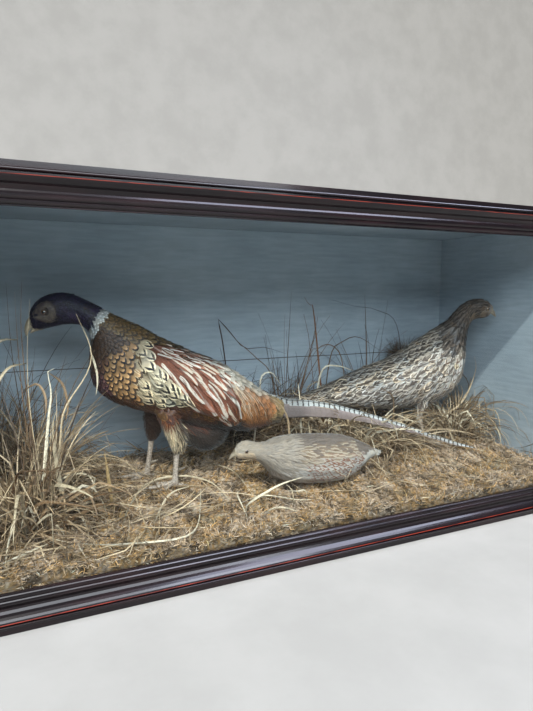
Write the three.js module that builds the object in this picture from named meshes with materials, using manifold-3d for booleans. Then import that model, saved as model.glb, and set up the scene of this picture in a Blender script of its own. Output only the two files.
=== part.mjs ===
// A glazed diorama case with a mounted cock ring-necked pheasant, a hen pheasant and a grey
// partridge on a mossy groundwork. Millimetres, +Z up. The origin is the bottom centre of the
// case, +X runs along its length to the right and the glass faces -Y.
import * as THREE from 'three';
import { mergeVertices } from 'three/addons/utils/BufferGeometryUtils.js';
import Module from 'manifold-3d';

const wasm = await Module();
wasm.setup();

// ---- driving dimensions -------------------------------------------------------------------
const GAP = 0.3; // clearance between pieces that touch

const CASE = { width: 1120, depth: 414, height: 541, board: 12, thin: 9, card: 2 };
const MOULDING = { width: 48, thick: 17.2, rebateWide: 7, rebateDeep: 3.6 };
const GLASS_THICK = 3;

const GROUND = { glassLevel: 58, rise: 26, bump: 2.2, columns: 25, rows: 10 };

// Where each bird stands, and the way it faces, in degrees from +X.
const COCK = { x: -197, y: 32, facing: 172.4 };
const HEN = { x: 320, y: 40, facing: -15 };
const PARTRIDGE = { x: 60, y: -70, facing: 180 };

// Cock: the stance of each leg, as [forward, left, up] in the bird's own frame.
const COCK_LEGS = {
  left: { hock: [-26, 29, 131], foot: [-21, 39, 76], thighTop: [-14, 27, 203] },
  right: { hock: [11, -37, 138], foot: [20, -37, 71], thighTop: [6, -27, 203] },
};
const TOES = [
  { name: 'middle', length: 43, turn: 4, radius: 3.6 },
  { name: 'inner', length: 31, turn: 34, radius: 3.2 },
  { name: 'outer', length: 33, turn: -30, radius: 3.2 },
  { name: 'hind', length: 13, turn: 172, radius: 2.7 },
];
const CLAW_LENGTH = 10;
const SHANK_HALF = { along: 4.6, across: 3.6 };
const SPUR = { height: 20, length: 12, radius: 3.2 };

const COCK_EYE = { forward: 172, up: 368.5, left: 11.2, radius: 5.6 };
const WING_THICK = 9;
const WATTLE_THICK = 1.8;

// ---- materials ----------------------------------------------------------------------------
const finish = (color, roughness, metalness = 0) =>
  new THREE.MeshStandardMaterial({ color, roughness, metalness });

const MATERIAL = {
  mahogany: finish(0x2c1512, 0.22),
  pine: finish(0x8a6a45, 0.7),
  card: finish(0x8d9ba6, 0.85),
  moss: finish(0x8b7442, 0.95),
  straw: finish(0xa99364, 0.8),
  headFeather: finish(0x161a2c, 0.35),
  bodyFeather: finish(0x9a6a3a, 0.7),
  wingFeather: finish(0x8b4a30, 0.7),
  tailFeather: finish(0xa39a92, 0.7),
  thighFeather: finish(0xb89a72, 0.8),
  wattle: finish(0x7d7a52, 0.6),
  horn: finish(0xc9c2a8, 0.4),
  scale: finish(0xb5b0a6, 0.6),
  eye: finish(0x1a0d06, 0.05),
  henFeather: finish(0x8f7f68, 0.8),
  partridgeFeather: finish(0x9c8e78, 0.8),
};
MATERIAL.glass = new THREE.MeshStandardMaterial({
  color: 0xf2f6f5, roughness: 0.03, metalness: 0, transparent: true, opacity: 0.15,
});

// ---- solids -------------------------------------------------------------------------------
const rad = THREE.MathUtils.degToRad;
const smooth = (low, high, value) => THREE.MathUtils.smoothstep(value, low, high);

// Turns a closed geometry into a solid that can be cut and joined.
function solidOf(geometry) {
  const bare = geometry.clone();
  bare.deleteAttribute('normal');
  bare.deleteAttribute('uv');
  const merged = mergeVertices(bare, 1e-4);
  return new wasm.Manifold(new wasm.Mesh({
    numProp: 3,
    vertProperties: new Float32Array(merged.attributes.position.array),
    triVerts: new Uint32Array(merged.index.array),
  }));
}

function geometryOf(solid) {
  const mesh = solid.getMesh();
  const geometry = new THREE.BufferGeometry();
  geometry.setAttribute('position', new THREE.BufferAttribute(mesh.vertProperties.slice(), 3));
  geometry.setIndex(new THREE.BufferAttribute(mesh.triVerts.slice(), 1));
  geometry.computeVertexNormals();
  return geometry;
}

function block(x0, x1, y0, y1, z0, z1) {
  const geometry = new THREE.BoxGeometry(x1 - x0, y1 - y0, z1 - z0);
  return geometry.translate((x0 + x1) / 2, (y0 + y1) / 2, (z0 + z1) / 2);
}

// Skins a list of rings, each with the same number of points, and closes both ends.
function skinRings(rings) {
  const sides = rings[0].length;
  const points = rings.flat();
  const index = [];
  for (let ring = 0; ring + 1 < rings.length; ring += 1) {
    for (let side = 0; side < sides; side += 1) {
      const here = ring * sides + side;
      const next = ring * sides + ((side + 1) % sides);
      index.push(here, next, here + sides, next, next + sides, here + sides);
    }
  }
  const capEnd = (ring, flip) => {
    const centre = new THREE.Vector3();
    rings[ring].forEach((point) => centre.addScaledVector(point, 1 / sides));
    points.push(centre);
    for (let side = 0; side < sides; side += 1) {
      const pair = [ring * sides + side, ring * sides + ((side + 1) % sides)];
      if (flip) pair.reverse();
      index.push(points.length - 1, ...pair);
    }
  };
  capEnd(0, true);
  capEnd(rings.length - 1, false);
  const geometry = new THREE.BufferGeometry();
  geometry.setFromPoints(points);
  geometry.setIndex(index);
  return outward(geometry);
}

// Turns a closed geometry's faces out if its signed volume shows that they point in.
function outward(geometry) {
  const position = geometry.attributes.position;
  const index = geometry.index.array;
  const [a, b, c] = [0, 1, 2].map(() => new THREE.Vector3());
  let volume = 0;
  for (let i = 0; i < index.length; i += 3) {
    a.fromBufferAttribute(position, index[i]);
    b.fromBufferAttribute(position, index[i + 1]);
    c.fromBufferAttribute(position, index[i + 2]);
    volume += a.dot(b.cross(c));
  }
  if (volume < 0) {
    for (let i = 0; i < index.length; i += 3) {
      [index[i], index[i + 1]] = [index[i + 1], index[i]];
    }
  }
  geometry.computeVertexNormals();
  return geometry;
}

// A body drawn through oval sections. Each station is the section's upper and lower ends in
// the side view, as [forward, up], and its half width; every section stands square to that view.
// grow adds to it all round, and swell(share of the way along) to its half width alone.
function bodyLoft(stations, { rings, sides, grow = 0, swell = () => 0 }) {
  const curve = (end) => new THREE.CatmullRomCurve3(
    stations.map((station) => new THREE.Vector3(...station[end], station[2])));
  const [upper, lower] = [curve(0), curve(1)];
  const outline = [];
  for (let ring = 0; ring < rings; ring += 1) {
    const t = ring / (rings - 1);
    const top = upper.getPoint(t);
    const foot = lower.getPoint(t);
    const half = top.z + grow + swell(t);
    const reach = new THREE.Vector2(top.x - foot.x, top.y - foot.y).divideScalar(2);
    reach.setLength(reach.length() + grow);
    const middle = new THREE.Vector2(top.x + foot.x, top.y + foot.y).divideScalar(2);
    const points = [];
    for (let side = 0; side < sides; side += 1) {
      const angle = (side / sides) * 2 * Math.PI;
      const rise = Math.cos(angle);
      points.push(new THREE.Vector3(
        middle.x + reach.x * rise, half * Math.sin(angle), middle.y + reach.y * rise));
    }
    outline.push(points);
  }
  return skinRings(outline);
}

// A limb drawn through level ovals at [forward, left, up], each with its two half sizes.
function levelLoft(ovals, sides) {
  return skinRings(ovals.map(({ at, along, across }) => {
    const points = [];
    for (let side = 0; side < sides; side += 1) {
      const angle = (side / sides) * 2 * Math.PI;
      points.push(new THREE.Vector3(
        at[0] + along * Math.cos(angle), at[1] + across * Math.sin(angle), at[2]));
    }
    return points;
  }));
}

// A tapered round rod along a smooth line of [forward, left, up] points.
function taperedRod(points, radii, { rings = points.length, sides = 6 } = {}) {
  const path = new THREE.CatmullRomCurve3(points.map((point) => new THREE.Vector3(...point)));
  const reference = new THREE.Vector3(0, 0, 1);
  const outline = [];
  for (let ring = 0; ring < rings; ring += 1) {
    const t = ring / (rings - 1);
    const along = path.getTangent(t);
    const side = new THREE.Vector3().crossVectors(along, reference);
    if (side.lengthSq() < 1e-3) side.set(0, 1, 0);
    side.normalize();
    const up = new THREE.Vector3().crossVectors(side, along).normalize();
    const place = t * (radii.length - 1);
    const step = Math.min(Math.floor(place), radii.length - 2);
    const radius = THREE.MathUtils.lerp(radii[step], radii[step + 1], place - step);
    const centre = path.getPoint(t);
    outline.push(Array.from({ length: sides }, (_, index) => {
      const angle = ((index + 0.5) / sides) * 2 * Math.PI;
      return centre.clone()
        .addScaledVector(side, radius * Math.cos(angle))
        .addScaledVector(up, radius * Math.sin(angle));
    }));
  }
  return skinRings(outline);
}

// A prism that stands across the bird, from one distance left of its middle to another.
function sideShape(outline, from, to) {
  const curve = new THREE.SplineCurve([...outline, outline[0]].map((p) => new THREE.Vector2(...p)));
  const shape = new THREE.Shape(curve.getPoints(outline.length * 2).slice(0, -1));
  const geometry = new THREE.ExtrudeGeometry(shape, { depth: to - from, bevelEnabled: false });
  return solidOf(geometry.rotateX(Math.PI / 2).translate(0, to, 0));
}

function ball({ forward, left, up, radius }, grow = 0) {
  return solidOf(new THREE.SphereGeometry(radius + grow, 12, 7).translate(forward, left, up));
}

// The part of a solid between two planes that lean in the side view. Each plane is a point
// [forward, up] and the angle of its forward normal above level.
function between(solid, rear, front) {
  const reach = 1500;
  const half = (plane, side) => {
    const slab = new THREE.BoxGeometry(reach, reach, reach);
    slab.translate((side * (reach + GAP)) / 2, 0, 0).rotateY(-rad(plane.lean));
    return solidOf(slab.translate(plane.at[0], 0, plane.at[1]));
  };
  let piece = solid;
  if (rear) piece = piece.intersect(half(rear, 1));
  if (front) piece = piece.intersect(half(front, -1));
  return piece;
}

// ---- the scene graph ----------------------------------------------------------------------
const group = new THREE.Group();

function place(name, shape, material, parent = group) {
  const geometry = shape.isBufferGeometry ? shape : geometryOf(shape);
  const mesh = new THREE.Mesh(geometry, material.clone());
  mesh.name = name;
  parent.add(mesh);
  return mesh;
}

function birdGroup({ x, y, facing }) {
  const bird = new THREE.Group();
  bird.position.set(x, y, 0);
  bird.rotation.z = rad(facing);
  group.add(bird);
  return bird;
}

// ---- the case -----------------------------------------------------------------------------
const halfWidth = CASE.width / 2;
const halfDepth = CASE.depth / 2;
const carcassFront = -halfDepth + MOULDING.thick + GAP;
const endInner = halfWidth - CASE.thin;
const backInner = halfDepth - CASE.thin;
const lidUnder = CASE.height - CASE.board;
const roomFloor = CASE.board + GAP;
const roomTop = lidUnder - GAP;

function buildCarcass() {
  const wood = MATERIAL.mahogany;
  place('case_base', block(-halfWidth, halfWidth, carcassFront, halfDepth, 0, CASE.board), wood);
  place('case_lid',
    block(-halfWidth, halfWidth, carcassFront, halfDepth, lidUnder, CASE.height), wood);
  place('case_back',
    block(-endInner + GAP, endInner - GAP, backInner, halfDepth, roomFloor, roomTop),
    MATERIAL.pine);
  place('case_end_left',
    block(-halfWidth, -endInner, carcassFront, halfDepth, roomFloor, roomTop), wood);
  place('case_end_right',
    block(endInner, halfWidth, carcassFront, halfDepth, roomFloor, roomTop), wood);
}

// Painted card that lines the back, the ends and the top of the room.
const cardFace = endInner - GAP - CASE.card;
const cardBack = backInner - GAP - CASE.card;
function buildLinings() {
  const top = roomTop - GAP - CASE.card;
  place('lining_back',
    block(-cardFace + GAP, cardFace - GAP, cardBack, cardBack + CASE.card, roomFloor, top),
    MATERIAL.card);
  for (const [name, side] of [['lining_end_left', -1], ['lining_end_right', 1]]) {
    const [x0, x1] = side < 0 ? [-cardFace - CASE.card, -cardFace] : [cardFace, cardFace + CASE.card];
    place(name, block(x0, x1, carcassFront + GAP, cardBack + CASE.card, roomFloor, top),
      MATERIAL.card);
  }
  place('lining_top',
    block(-cardFace, cardFace, carcassFront + GAP, cardBack + CASE.card, top + GAP, roomTop),
    MATERIAL.card);
}

// The moulding's section: x from the sight edge outward, y forward from its back face. From the
// sight edge it has a fillet, two reeds, a deep cove, a broad sloping band, a quirk, a bead and
// a flat outer face. The rebate behind the sight edge holds the glass.
function mouldingSection() {
  const section = new THREE.Shape();
  const reed = { wide: 6, rise: 1.9 };
  section.moveTo(MOULDING.rebateWide, 0);
  section.lineTo(MOULDING.rebateWide, MOULDING.rebateDeep);
  section.lineTo(0, MOULDING.rebateDeep);
  section.lineTo(0, 6.2);
  section.lineTo(1.6, 6.2);
  for (let index = 0; index < 2; index += 1) {
    const x = 1.6 + index * reed.wide;
    const y = 6.2 + index * reed.rise;
    section.quadraticCurveTo(x + 1, y + reed.rise + 0.9, x + reed.wide - 0.6, y + reed.rise + 0.6);
    section.lineTo(x + reed.wide, y + reed.rise);
  }
  section.quadraticCurveTo(17.5, 4.6, 23.6, 9.4);
  section.quadraticCurveTo(28, 15.4, 33, MOULDING.thick);
  section.lineTo(33.4, 11);
  section.lineTo(36.6, 11);
  section.quadraticCurveTo(37, 14.6, 39, 14.6);
  section.quadraticCurveTo(41, 14.6, 41.2, 12.8);
  section.lineTo(MOULDING.width, 12.8);
  section.lineTo(MOULDING.width, 0);
  section.closePath();
  return section;
}

// One mitred bar of the moulding, lying along X with its sight edge towards +Z.
function mouldingBar(sightHalf) {
  const geometry = new THREE.ExtrudeGeometry(mouldingSection(), {
    depth: 2, steps: 1, bevelEnabled: false, curveSegments: 4,
  });
  const position = geometry.attributes.position;
  for (let i = 0; i < position.count; i += 1) {
    const out = position.getX(i);
    const forward = position.getY(i);
    const end = position.getZ(i) - 1;
    position.setXYZ(i, end * (sightHalf + out - GAP), -forward, -out);
  }
  return geometryOf(solidOf(geometry));
}

function buildFront() {
  const backFace = carcassFront - GAP;
  const sight = {
    x: halfWidth - MOULDING.width,
    z: CASE.height / 2 - MOULDING.width,
  };
  const bars = [
    ['frame_bottom', sight.x, sight.z, 0],
    ['frame_right', sight.z, sight.x, -90],
    ['frame_top', sight.x, sight.z, 180],
    ['frame_left', sight.z, sight.x, 90],
  ];
  for (const [name, length, out, turn] of bars) {
    const bar = place(name, outward(mouldingBar(length)), MATERIAL.mahogany);
    bar.rotation.y = rad(turn);
    bar.position.set(0, backFace, CASE.height / 2);
    bar.position.add(new THREE.Vector3(0, 0, -out).applyAxisAngle(
      new THREE.Vector3(0, 1, 0), rad(turn)));
  }
  const cover = MOULDING.rebateWide - GAP;
  const paneBack = backFace - GAP;
  place('glass_front',
    block(-sight.x - cover, sight.x + cover, paneBack - GLASS_THICK, paneBack,
      MOULDING.width - cover, CASE.height - MOULDING.width + cover),
    MATERIAL.glass);
}

// ---- the groundwork -----------------------------------------------------------------------
const FOOTINGS = [
  { x: COCK.x - 3, y: COCK.y - 39, level: 76 - GAP, radius: 78 },
  { x: COCK.x - 28, y: COCK.y + 41, level: 71 - GAP, radius: 84 },
  { x: HEN.x + 30, y: HEN.y - 5, level: 84, radius: 105 },
];

function groundLevel(x, y) {
  const back = smooth(carcassFront, cardBack, y);
  const slope = GROUND.glassLevel + GROUND.rise * back ** 0.8;
  const bumps = GROUND.bump * (Math.sin(x / 31 + y / 47) + Math.sin(x / 83 - y / 29 + 1.3));
  const natural = slope + bumps * (0.4 + 0.6 * back);
  return FOOTINGS.reduce((level, footing) => {
    const away = Math.hypot(x - footing.x, y - footing.y) / footing.radius;
    return THREE.MathUtils.lerp(footing.level, level, smooth(0.65, 1.25, away));
  }, natural);
}

// A slab with a flat underside whose top follows groundLevel.
function groundSlab() {
  const [x0, x1] = [-cardFace + 2 * GAP, cardFace - 2 * GAP];
  const [y0, y1] = [carcassFront + 2 * GAP, cardBack - 2 * GAP];
  const { columns, rows } = GROUND;
  const points = [];
  const index = [];
  for (let row = 0; row <= rows; row += 1) {
    for (let column = 0; column <= columns; column += 1) {
      const x = x0 + ((x1 - x0) * column) / columns;
      const y = y0 + ((y1 - y0) * row) / rows;
      points.push(new THREE.Vector3(x, y, groundLevel(x, y)));
    }
  }
  const at = (column, row) => row * (columns + 1) + column;
  for (let row = 0; row < rows; row += 1) {
    for (let column = 0; column < columns; column += 1) {
      const [a, b] = [at(column, row), at(column + 1, row)];
      const [c, d] = [at(column + 1, row + 1), at(column, row + 1)];
      index.push(a, b, c, a, c, d);
    }
  }
  const rim = [];
  for (let column = 0; column < columns; column += 1) rim.push(at(column, 0));
  for (let row = 0; row < rows; row += 1) rim.push(at(columns, row));
  for (let column = columns; column > 0; column -= 1) rim.push(at(column, rows));
  for (let row = rows; row > 0; row -= 1) rim.push(at(0, row));
  const first = points.length;
  for (const top of rim) points.push(new THREE.Vector3(points[top].x, points[top].y, roomFloor));
  points.push(new THREE.Vector3((x0 + x1) / 2, (y0 + y1) / 2, roomFloor));
  rim.forEach((top, place) => {
    const next = (place + 1) % rim.length;
    index.push(top, first + place, rim[next], rim[next], first + place, first + next);
    index.push(points.length - 1, first + next, first + place);
  });
  const geometry = new THREE.BufferGeometry();
  geometry.setFromPoints(points);
  geometry.setIndex(index);
  return outward(geometry);
}

// A dense heart of a grass tussock: a ragged cone whose blades open outward.
const TUSSOCKS = [
  { name: 'tussock_left', x: -408, y: -52, height: 130, radius: 52, lean: [12, -8] },
  { name: 'tussock_corner', x: -470, y: 90, height: 150, radius: 44, lean: [10, 6] },
  { name: 'tussock_back', x: 25, y: 150, height: 120, radius: 30, lean: [14, -4] },
  { name: 'tussock_right', x: 478, y: 70, height: 84, radius: 46, lean: [-16, -14] },
];

function tussockHeart({ x, y, height, radius, lean }) {
  const sides = 10;
  const foot = groundLevel(x, y);
  const profile = [[-6, 1], [10, 1.08], [0.35 * height, 0.74], [0.72 * height, 0.4], [height, 0.12]];
  const rings = profile.map(([rise, wide], level) => {
    const share = Math.max(rise, 0) / height;
    return Array.from({ length: sides }, (_, side) => {
      const angle = (side / sides) * 2 * Math.PI;
      const ragged = 1 + 0.13 * Math.sin(3 * angle + level) + 0.07 * Math.sin(5 * angle - level);
      const reach = radius * wide * ragged;
      return new THREE.Vector3(
        x + lean[0] * share + reach * Math.cos(angle),
        y + lean[1] * share + reach * Math.sin(angle),
        foot + rise);
    });
  });
  return skinRings(rings);
}

// ---- the cock pheasant --------------------------------------------------------------------
// Sections from the rump to the brow: [upper end, lower end, half width].
const COCK_BODY = [
  [[-222, 205], [-216, 166], 17],
  [[-205, 212], [-186, 160], 27],
  [[-180, 228], [-150, 158], 37],
  [[-156, 247], [-112, 160], 44],
  [[-128, 267], [-76, 164], 48],
  [[-98, 284], [-36, 178], 50],
  [[-66, 297], [8, 194], 51],
  [[-36, 311], [48, 207], 51],
  [[-8, 324], [84, 224], 48],
  [[18, 340], [104, 248], 42],
  [[42, 352], [110, 276], 34],
  [[62, 361], [108, 302], 27],
  [[80, 371], [106, 330], 22],
  [[100, 382], [118, 346], 18.5],
  [[124, 394], [130, 348], 17],
  [[142, 399], [146, 348], 17],
  [[158, 398], [160, 345], 16.5],
  [[174, 393], [173, 342], 15.5],
  [[186, 383], [182, 340], 12.5],
  [[194, 371], [190, 341], 8.5],
  [[196, 362], [194, 348], 4],
];
// The soft vent feathers that hang behind the legs.
const COCK_VENT = [
  [[-30, 190], [-34, 160], 14],
  [[-52, 182], [-56, 136], 24],
  [[-76, 178], [-80, 125], 27],
  [[-98, 180], [-108, 138], 20],
  [[-112, 186], [-122, 160], 10],
];
const NECK_BASE = { at: [68, 330], lean: 30 };
const NECK_TOP = { at: [118, 365], lean: 24 };

const WING_OUTLINE = [
  [24, 322], [34, 300], [20, 268], [-12, 238], [-52, 208], [-90, 189],
  [-124, 173], [-132, 188], [-122, 228], [-104, 260], [-70, 290], [-22, 315],
];
const WATTLE_OUTLINE = [
  [189, 366], [184, 379], [167, 386], [158, 378], [155, 365], [160, 353], [172, 352], [187, 358],
];

const COCK_TAIL = [
  [[-227, 203], [-223, 174], 22],
  [[-265, 200], [-262, 169], 25],
  [[-318, 190], [-316, 161], 23],
  [[-374, 173], [-372, 154], 20],
  [[-411, 161], [-410, 147], 17],
  [[-470, 141], [-468, 132], 13],
  [[-531, 118], [-530, 111], 9.5],
  [[-590, 96], [-589, 91], 6.5],
  [[-642, 80], [-642, 77], 2.5],
];

const COCK_BILL = {
  upper: { line: [[184, 0, 361], [194, 0, 355], [200, 0, 346], [201, 0, 336]],
    radii: [7.5, 6.4, 4, 1] },
  lower: { line: [[180, 0, 346], [189, 0, 341.5], [195, 0, 336.5]], radii: [5.6, 4.4, 1.5] },
};

function cockTrunkSolid(grow = 0, swell = undefined) {
  return solidOf(bodyLoft(COCK_BODY, { rings: 30, sides: 20, grow, swell }));
}

// The folded wings are thickest over the back and thin out towards shoulder and tip.
const wingSwell = (share) => WING_THICK * smooth(-0.02, 0.2, share) * (1 - smooth(0.36, 0.54, share));

function buildCockHead(bird, whole) {
  const eyes = [1, -1].map((side) => ({ ...COCK_EYE, left: side * COCK_EYE.left }));
  let head = between(whole, NECK_TOP, null);
  for (const eye of eyes) head = head.subtract(ball(eye, GAP));
  place('cock_head', head, MATERIAL.headFeather, bird);

  const shell = cockTrunkSolid(WATTLE_THICK).subtract(cockTrunkSolid(GAP));
  eyes.forEach((eye, index) => {
    const side = index === 0 ? 'left' : 'right';
    place(`cock_eye_${side}`, ball(eye), MATERIAL.eye, bird);
    const [from, to] = index === 0 ? [3, 30] : [-30, -3];
    const patch = shell.intersect(sideShape(WATTLE_OUTLINE, from, to)).subtract(ball(eye, GAP));
    place(`cock_wattle_${side}`, patch, MATERIAL.wattle, bird);
  });

  const grown = cockTrunkSolid(WATTLE_THICK + GAP);
  const upper = solidOf(taperedRod(COCK_BILL.upper.line, COCK_BILL.upper.radii, { rings: 7 }));
  const lower = solidOf(taperedRod(COCK_BILL.lower.line, COCK_BILL.lower.radii, { rings: 5 }));
  const upperRoom = solidOf(taperedRod(
    COCK_BILL.upper.line, COCK_BILL.upper.radii.map((radius) => radius + GAP), { rings: 7 }));
  place('cock_bill_upper', upper.subtract(grown), MATERIAL.horn, bird);
  place('cock_bill_lower', lower.subtract(grown).subtract(upperRoom), MATERIAL.horn, bird);
}

function buildCockBody(bird, whole) {
  place('cock_neck', between(whole, NECK_BASE, NECK_TOP), MATERIAL.headFeather, bird);
  const vent = solidOf(bodyLoft(COCK_VENT, { rings: 8, sides: 12 }));
  place('cock_trunk', between(whole, null, NECK_BASE).add(vent), MATERIAL.bodyFeather, bird);
  const shell = cockTrunkSolid(GAP, wingSwell).subtract(cockTrunkSolid(GAP));
  place('cock_wing_left', shell.intersect(sideShape(WING_OUTLINE, 16, 80)),
    MATERIAL.wingFeather, bird);
  place('cock_wing_right', shell.intersect(sideShape(WING_OUTLINE, -80, -16)),
    MATERIAL.wingFeather, bird);
  const tail = solidOf(bodyLoft(COCK_TAIL, { rings: 13, sides: 12 }));
  place('cock_tail', tail.subtract(cockTrunkSolid(GAP)), MATERIAL.tailFeather, bird);
}

// One toe from the root of the foot, lying on its sole, and the claw that carries on from it.
function toeLines(foot, { length, turn, radius }) {
  const [dx, dy] = [Math.cos(rad(turn)), Math.sin(rad(turn))];
  const point = (run, up) => [foot[0] + dx * run, foot[1] + dy * run, foot[2] + up];
  const toe = [
    point(0, radius + 5), point(0.3 * length, radius + 2.4),
    point(0.65 * length, radius + 0.6), point(length, radius),
  ];
  const start = length + radius * 0.4;
  const claw = [
    point(start, radius + 0.2), point(start + 0.55 * CLAW_LENGTH, radius),
    point(start + CLAW_LENGTH, 1.1),
  ];
  return { toe, claw };
}

function buildCockLeg(bird, side, { hock, foot, thighTop }) {
  const lerp = (share, ends = [thighTop, hock]) =>
    ends[0].map((value, axis) => THREE.MathUtils.lerp(value, ends[1][axis], share));
  const back = side === 'left' ? -5 : -2;
  const shifted = (share, forward) => {
    const [x, y, z] = lerp(share);
    return [x + forward, y, z];
  };
  const thigh = levelLoft([
    { at: shifted(0, 0), along: 23, across: 15 },
    { at: shifted(0.3, 0), along: 18.5, across: 14 },
    { at: shifted(0.52, 0.6 * back), along: 17, across: 13 },
    { at: shifted(0.74, back), along: 15, across: 11.5 },
    { at: shifted(0.9, 0.6 * back), along: 10.5, across: 8.5 },
    { at: shifted(1, 0), along: 6, across: 5.4 },
  ], 12);
  place(`cock_leg_${side}`, solidOf(thigh).subtract(cockTrunkSolid(GAP)),
    MATERIAL.thighFeather, bird);

  const ankle = [foot[0], foot[1], foot[2] + 8];
  const shankTop = [hock[0], hock[1], hock[2] - GAP];
  const shankAt = (share) => lerp(share, [shankTop, ankle]);
  const shankCore = (grow) => solidOf(levelLoft([
    { at: shankAt(0), along: SHANK_HALF.along + 0.8, across: SHANK_HALF.across + 0.8 },
    { at: shankAt(0.25), along: SHANK_HALF.along, across: SHANK_HALF.across },
    { at: shankAt(0.8), along: SHANK_HALF.along, across: SHANK_HALF.across },
    { at: shankAt(1), along: SHANK_HALF.along + 1.6, across: SHANK_HALF.across + 1.4 },
    { at: [foot[0], foot[1], foot[2] + 2], along: 5.4, across: 4.6 },
  ].map((oval) => ({ ...oval, along: oval.along + grow, across: oval.across + grow })), 8));
  let shank = shankCore(0);
  TOES.forEach((toe, index) => {
    const turn = side === 'left' ? toe.turn : -toe.turn;
    const lines = toeLines(foot, { ...toe, turn });
    const radii = [toe.radius + 0.6, toe.radius + 0.3, toe.radius, toe.radius * 0.7];
    shank = shank.add(solidOf(taperedRod(lines.toe, radii)));
    const claw = solidOf(taperedRod(lines.claw, [toe.radius * 0.62, toe.radius * 0.42, 0.5],
      { sides: 6 }));
    const room = solidOf(taperedRod(lines.toe, radii.map((radius) => radius + GAP)));
    place(`cock_claw_${side}_${index + 1}`, claw.subtract(room), MATERIAL.horn, bird);
  });
  place(`cock_shank_${side}`, shank, MATERIAL.scale, bird);

  const root = shankAt(1 - SPUR.height / (shankTop[2] - ankle[2]));
  const inward = side === 'left' ? -1 : 1;
  const spur = solidOf(taperedRod([
    root,
    [root[0] - 0.6 * SPUR.length - SHANK_HALF.along, root[1] + inward, root[2] + 0.5],
    [root[0] - SPUR.length - SHANK_HALF.along, root[1] + inward * 2, root[2] + 3],
  ], [SPUR.radius, SPUR.radius * 0.7, 0.6]));
  place(`cock_spur_${side}`, spur.subtract(shankCore(GAP)), MATERIAL.horn, bird);
}

function buildCock() {
  const bird = birdGroup(COCK);
  const whole = cockTrunkSolid();
  buildCockHead(bird, whole);
  buildCockBody(bird, whole);
  for (const side of ['left', 'right']) buildCockLeg(bird, side, COCK_LEGS[side]);
}

// ---- the hen pheasant and the partridge ---------------------------------------------------
const HEN_BODY = [
  [[-332, 164], [-331, 159], 6],
  [[-270, 178], [-264, 167], 15],
  [[-208, 193], [-186, 170], 23],
  [[-168, 209], [-132, 164], 33],
  [[-128, 227], [-82, 158], 42],
  [[-90, 244], [-24, 156], 51],
  [[-45, 260], [32, 160], 55],
  [[-4, 280], [82, 174], 56],
  [[36, 306], [118, 203], 53],
  [[68, 325], [131, 242], 44],
  [[92, 339], [133, 282], 32],
  [[108, 357], [136, 310], 23],
  [[124, 374], [142, 330], 18],
  [[142, 383], [150, 341], 16],
  [[160, 387], [161, 344], 15.5],
  [[178, 384], [175, 345], 14],
  [[190, 376], [187, 349], 9.5],
  [[195, 368], [193, 355], 4],
];
const HEN_BILL = { line: [[184, 0, 362], [196, 0, 357], [204, 0, 346]], radii: [7, 5, 1] };
const HEN_SOLE = 84.3;
const HEN_LEGS = [
  { hip: [16, 30, 190], hock: [2, 30, 146], foot: [14, 30, HEN_SOLE], turn: 6 },
  { hip: [36, -30, 192], hock: [24, -30, 148], foot: [38, -30, HEN_SOLE], turn: -6 },
];

const PARTRIDGE_BODY = [
  [[-126, 110], [-124, 105], 5],
  [[-106, 121], [-102, 103], 14],
  [[-84, 133], [-82, 92], 24],
  [[-60, 145], [-62, 78], 34],
  [[-32, 152], [-38, 71], 42],
  [[6, 157], [2, 71], 46],
  [[42, 160], [38, 75], 45],
  [[72, 160], [70, 83], 39],
  [[92, 156], [92, 95], 30],
  [[106, 153], [104, 110], 20],
  [[122, 156], [116, 122], 14.5],
  [[138, 160], [130, 128], 13],
  [[150, 157], [145, 130], 11],
  [[158, 147], [154, 132], 6.5],
];
const PARTRIDGE_BILL = {
  line: [[152, 0, 141], [161, 0, 138], [168, 0, 130]], radii: [5, 3.6, 0.8],
};

function plainLeg({ hip, hock, foot, turn }) {
  let leg = solidOf(taperedRod([hip, hock], [16, 5]));
  leg = leg.add(solidOf(taperedRod([hock, [foot[0], foot[1], foot[2] + 5]], [5, 4.2])));
  for (const spread of [-32, 0, 32]) {
    const { toe } = toeLines(foot, { length: 40, turn: turn + spread, radius: 3 });
    leg = leg.add(solidOf(taperedRod(toe, [3.8, 3.4, 2.8, 1])));
  }
  return leg;
}

function henSolid() {
  let hen = solidOf(bodyLoft(HEN_BODY, { rings: 21, sides: 14 }));
  hen = hen.add(solidOf(taperedRod(HEN_BILL.line, HEN_BILL.radii, { rings: 5 })));
  for (const leg of HEN_LEGS) hen = hen.add(plainLeg(leg));
  return hen;
}

function partridgeSolid(grow = 0) {
  const body = solidOf(bodyLoft(PARTRIDGE_BODY, { rings: 19, sides: 14, grow }));
  const radii = PARTRIDGE_BILL.radii.map((radius) => radius + grow);
  return body.add(solidOf(taperedRod(PARTRIDGE_BILL.line, radii, { rings: 5 })));
}

function buildGround() {
  const nest = solidOf(geometryOf(partridgeSolid(GAP + 0.2))
    .rotateZ(rad(PARTRIDGE.facing)).translate(PARTRIDGE.x, PARTRIDGE.y, 0));
  let ground = solidOf(groundSlab()).subtract(nest);
  for (const tussock of TUSSOCKS) {
    const heart = solidOf(tussockHeart(tussock));
    const room = solidOf(tussockHeart({
      ...tussock, radius: tussock.radius + GAP, height: tussock.height + GAP,
    }).translate(0, 0, -2 * GAP));
    ground = ground.subtract(room);
    place(tussock.name, heart, MATERIAL.straw);
  }
  place('groundwork', ground, MATERIAL.moss);
}

// ---- assembly -----------------------------------------------------------------------------
buildCarcass();
buildLinings();
buildFront();
buildGround();
buildCock();
place('hen_pheasant', henSolid(), MATERIAL.henFeather, birdGroup(HEN));
place('partridge', partridgeSolid(), MATERIAL.partridgeFeather, birdGroup(PARTRIDGE));

export default group;
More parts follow.
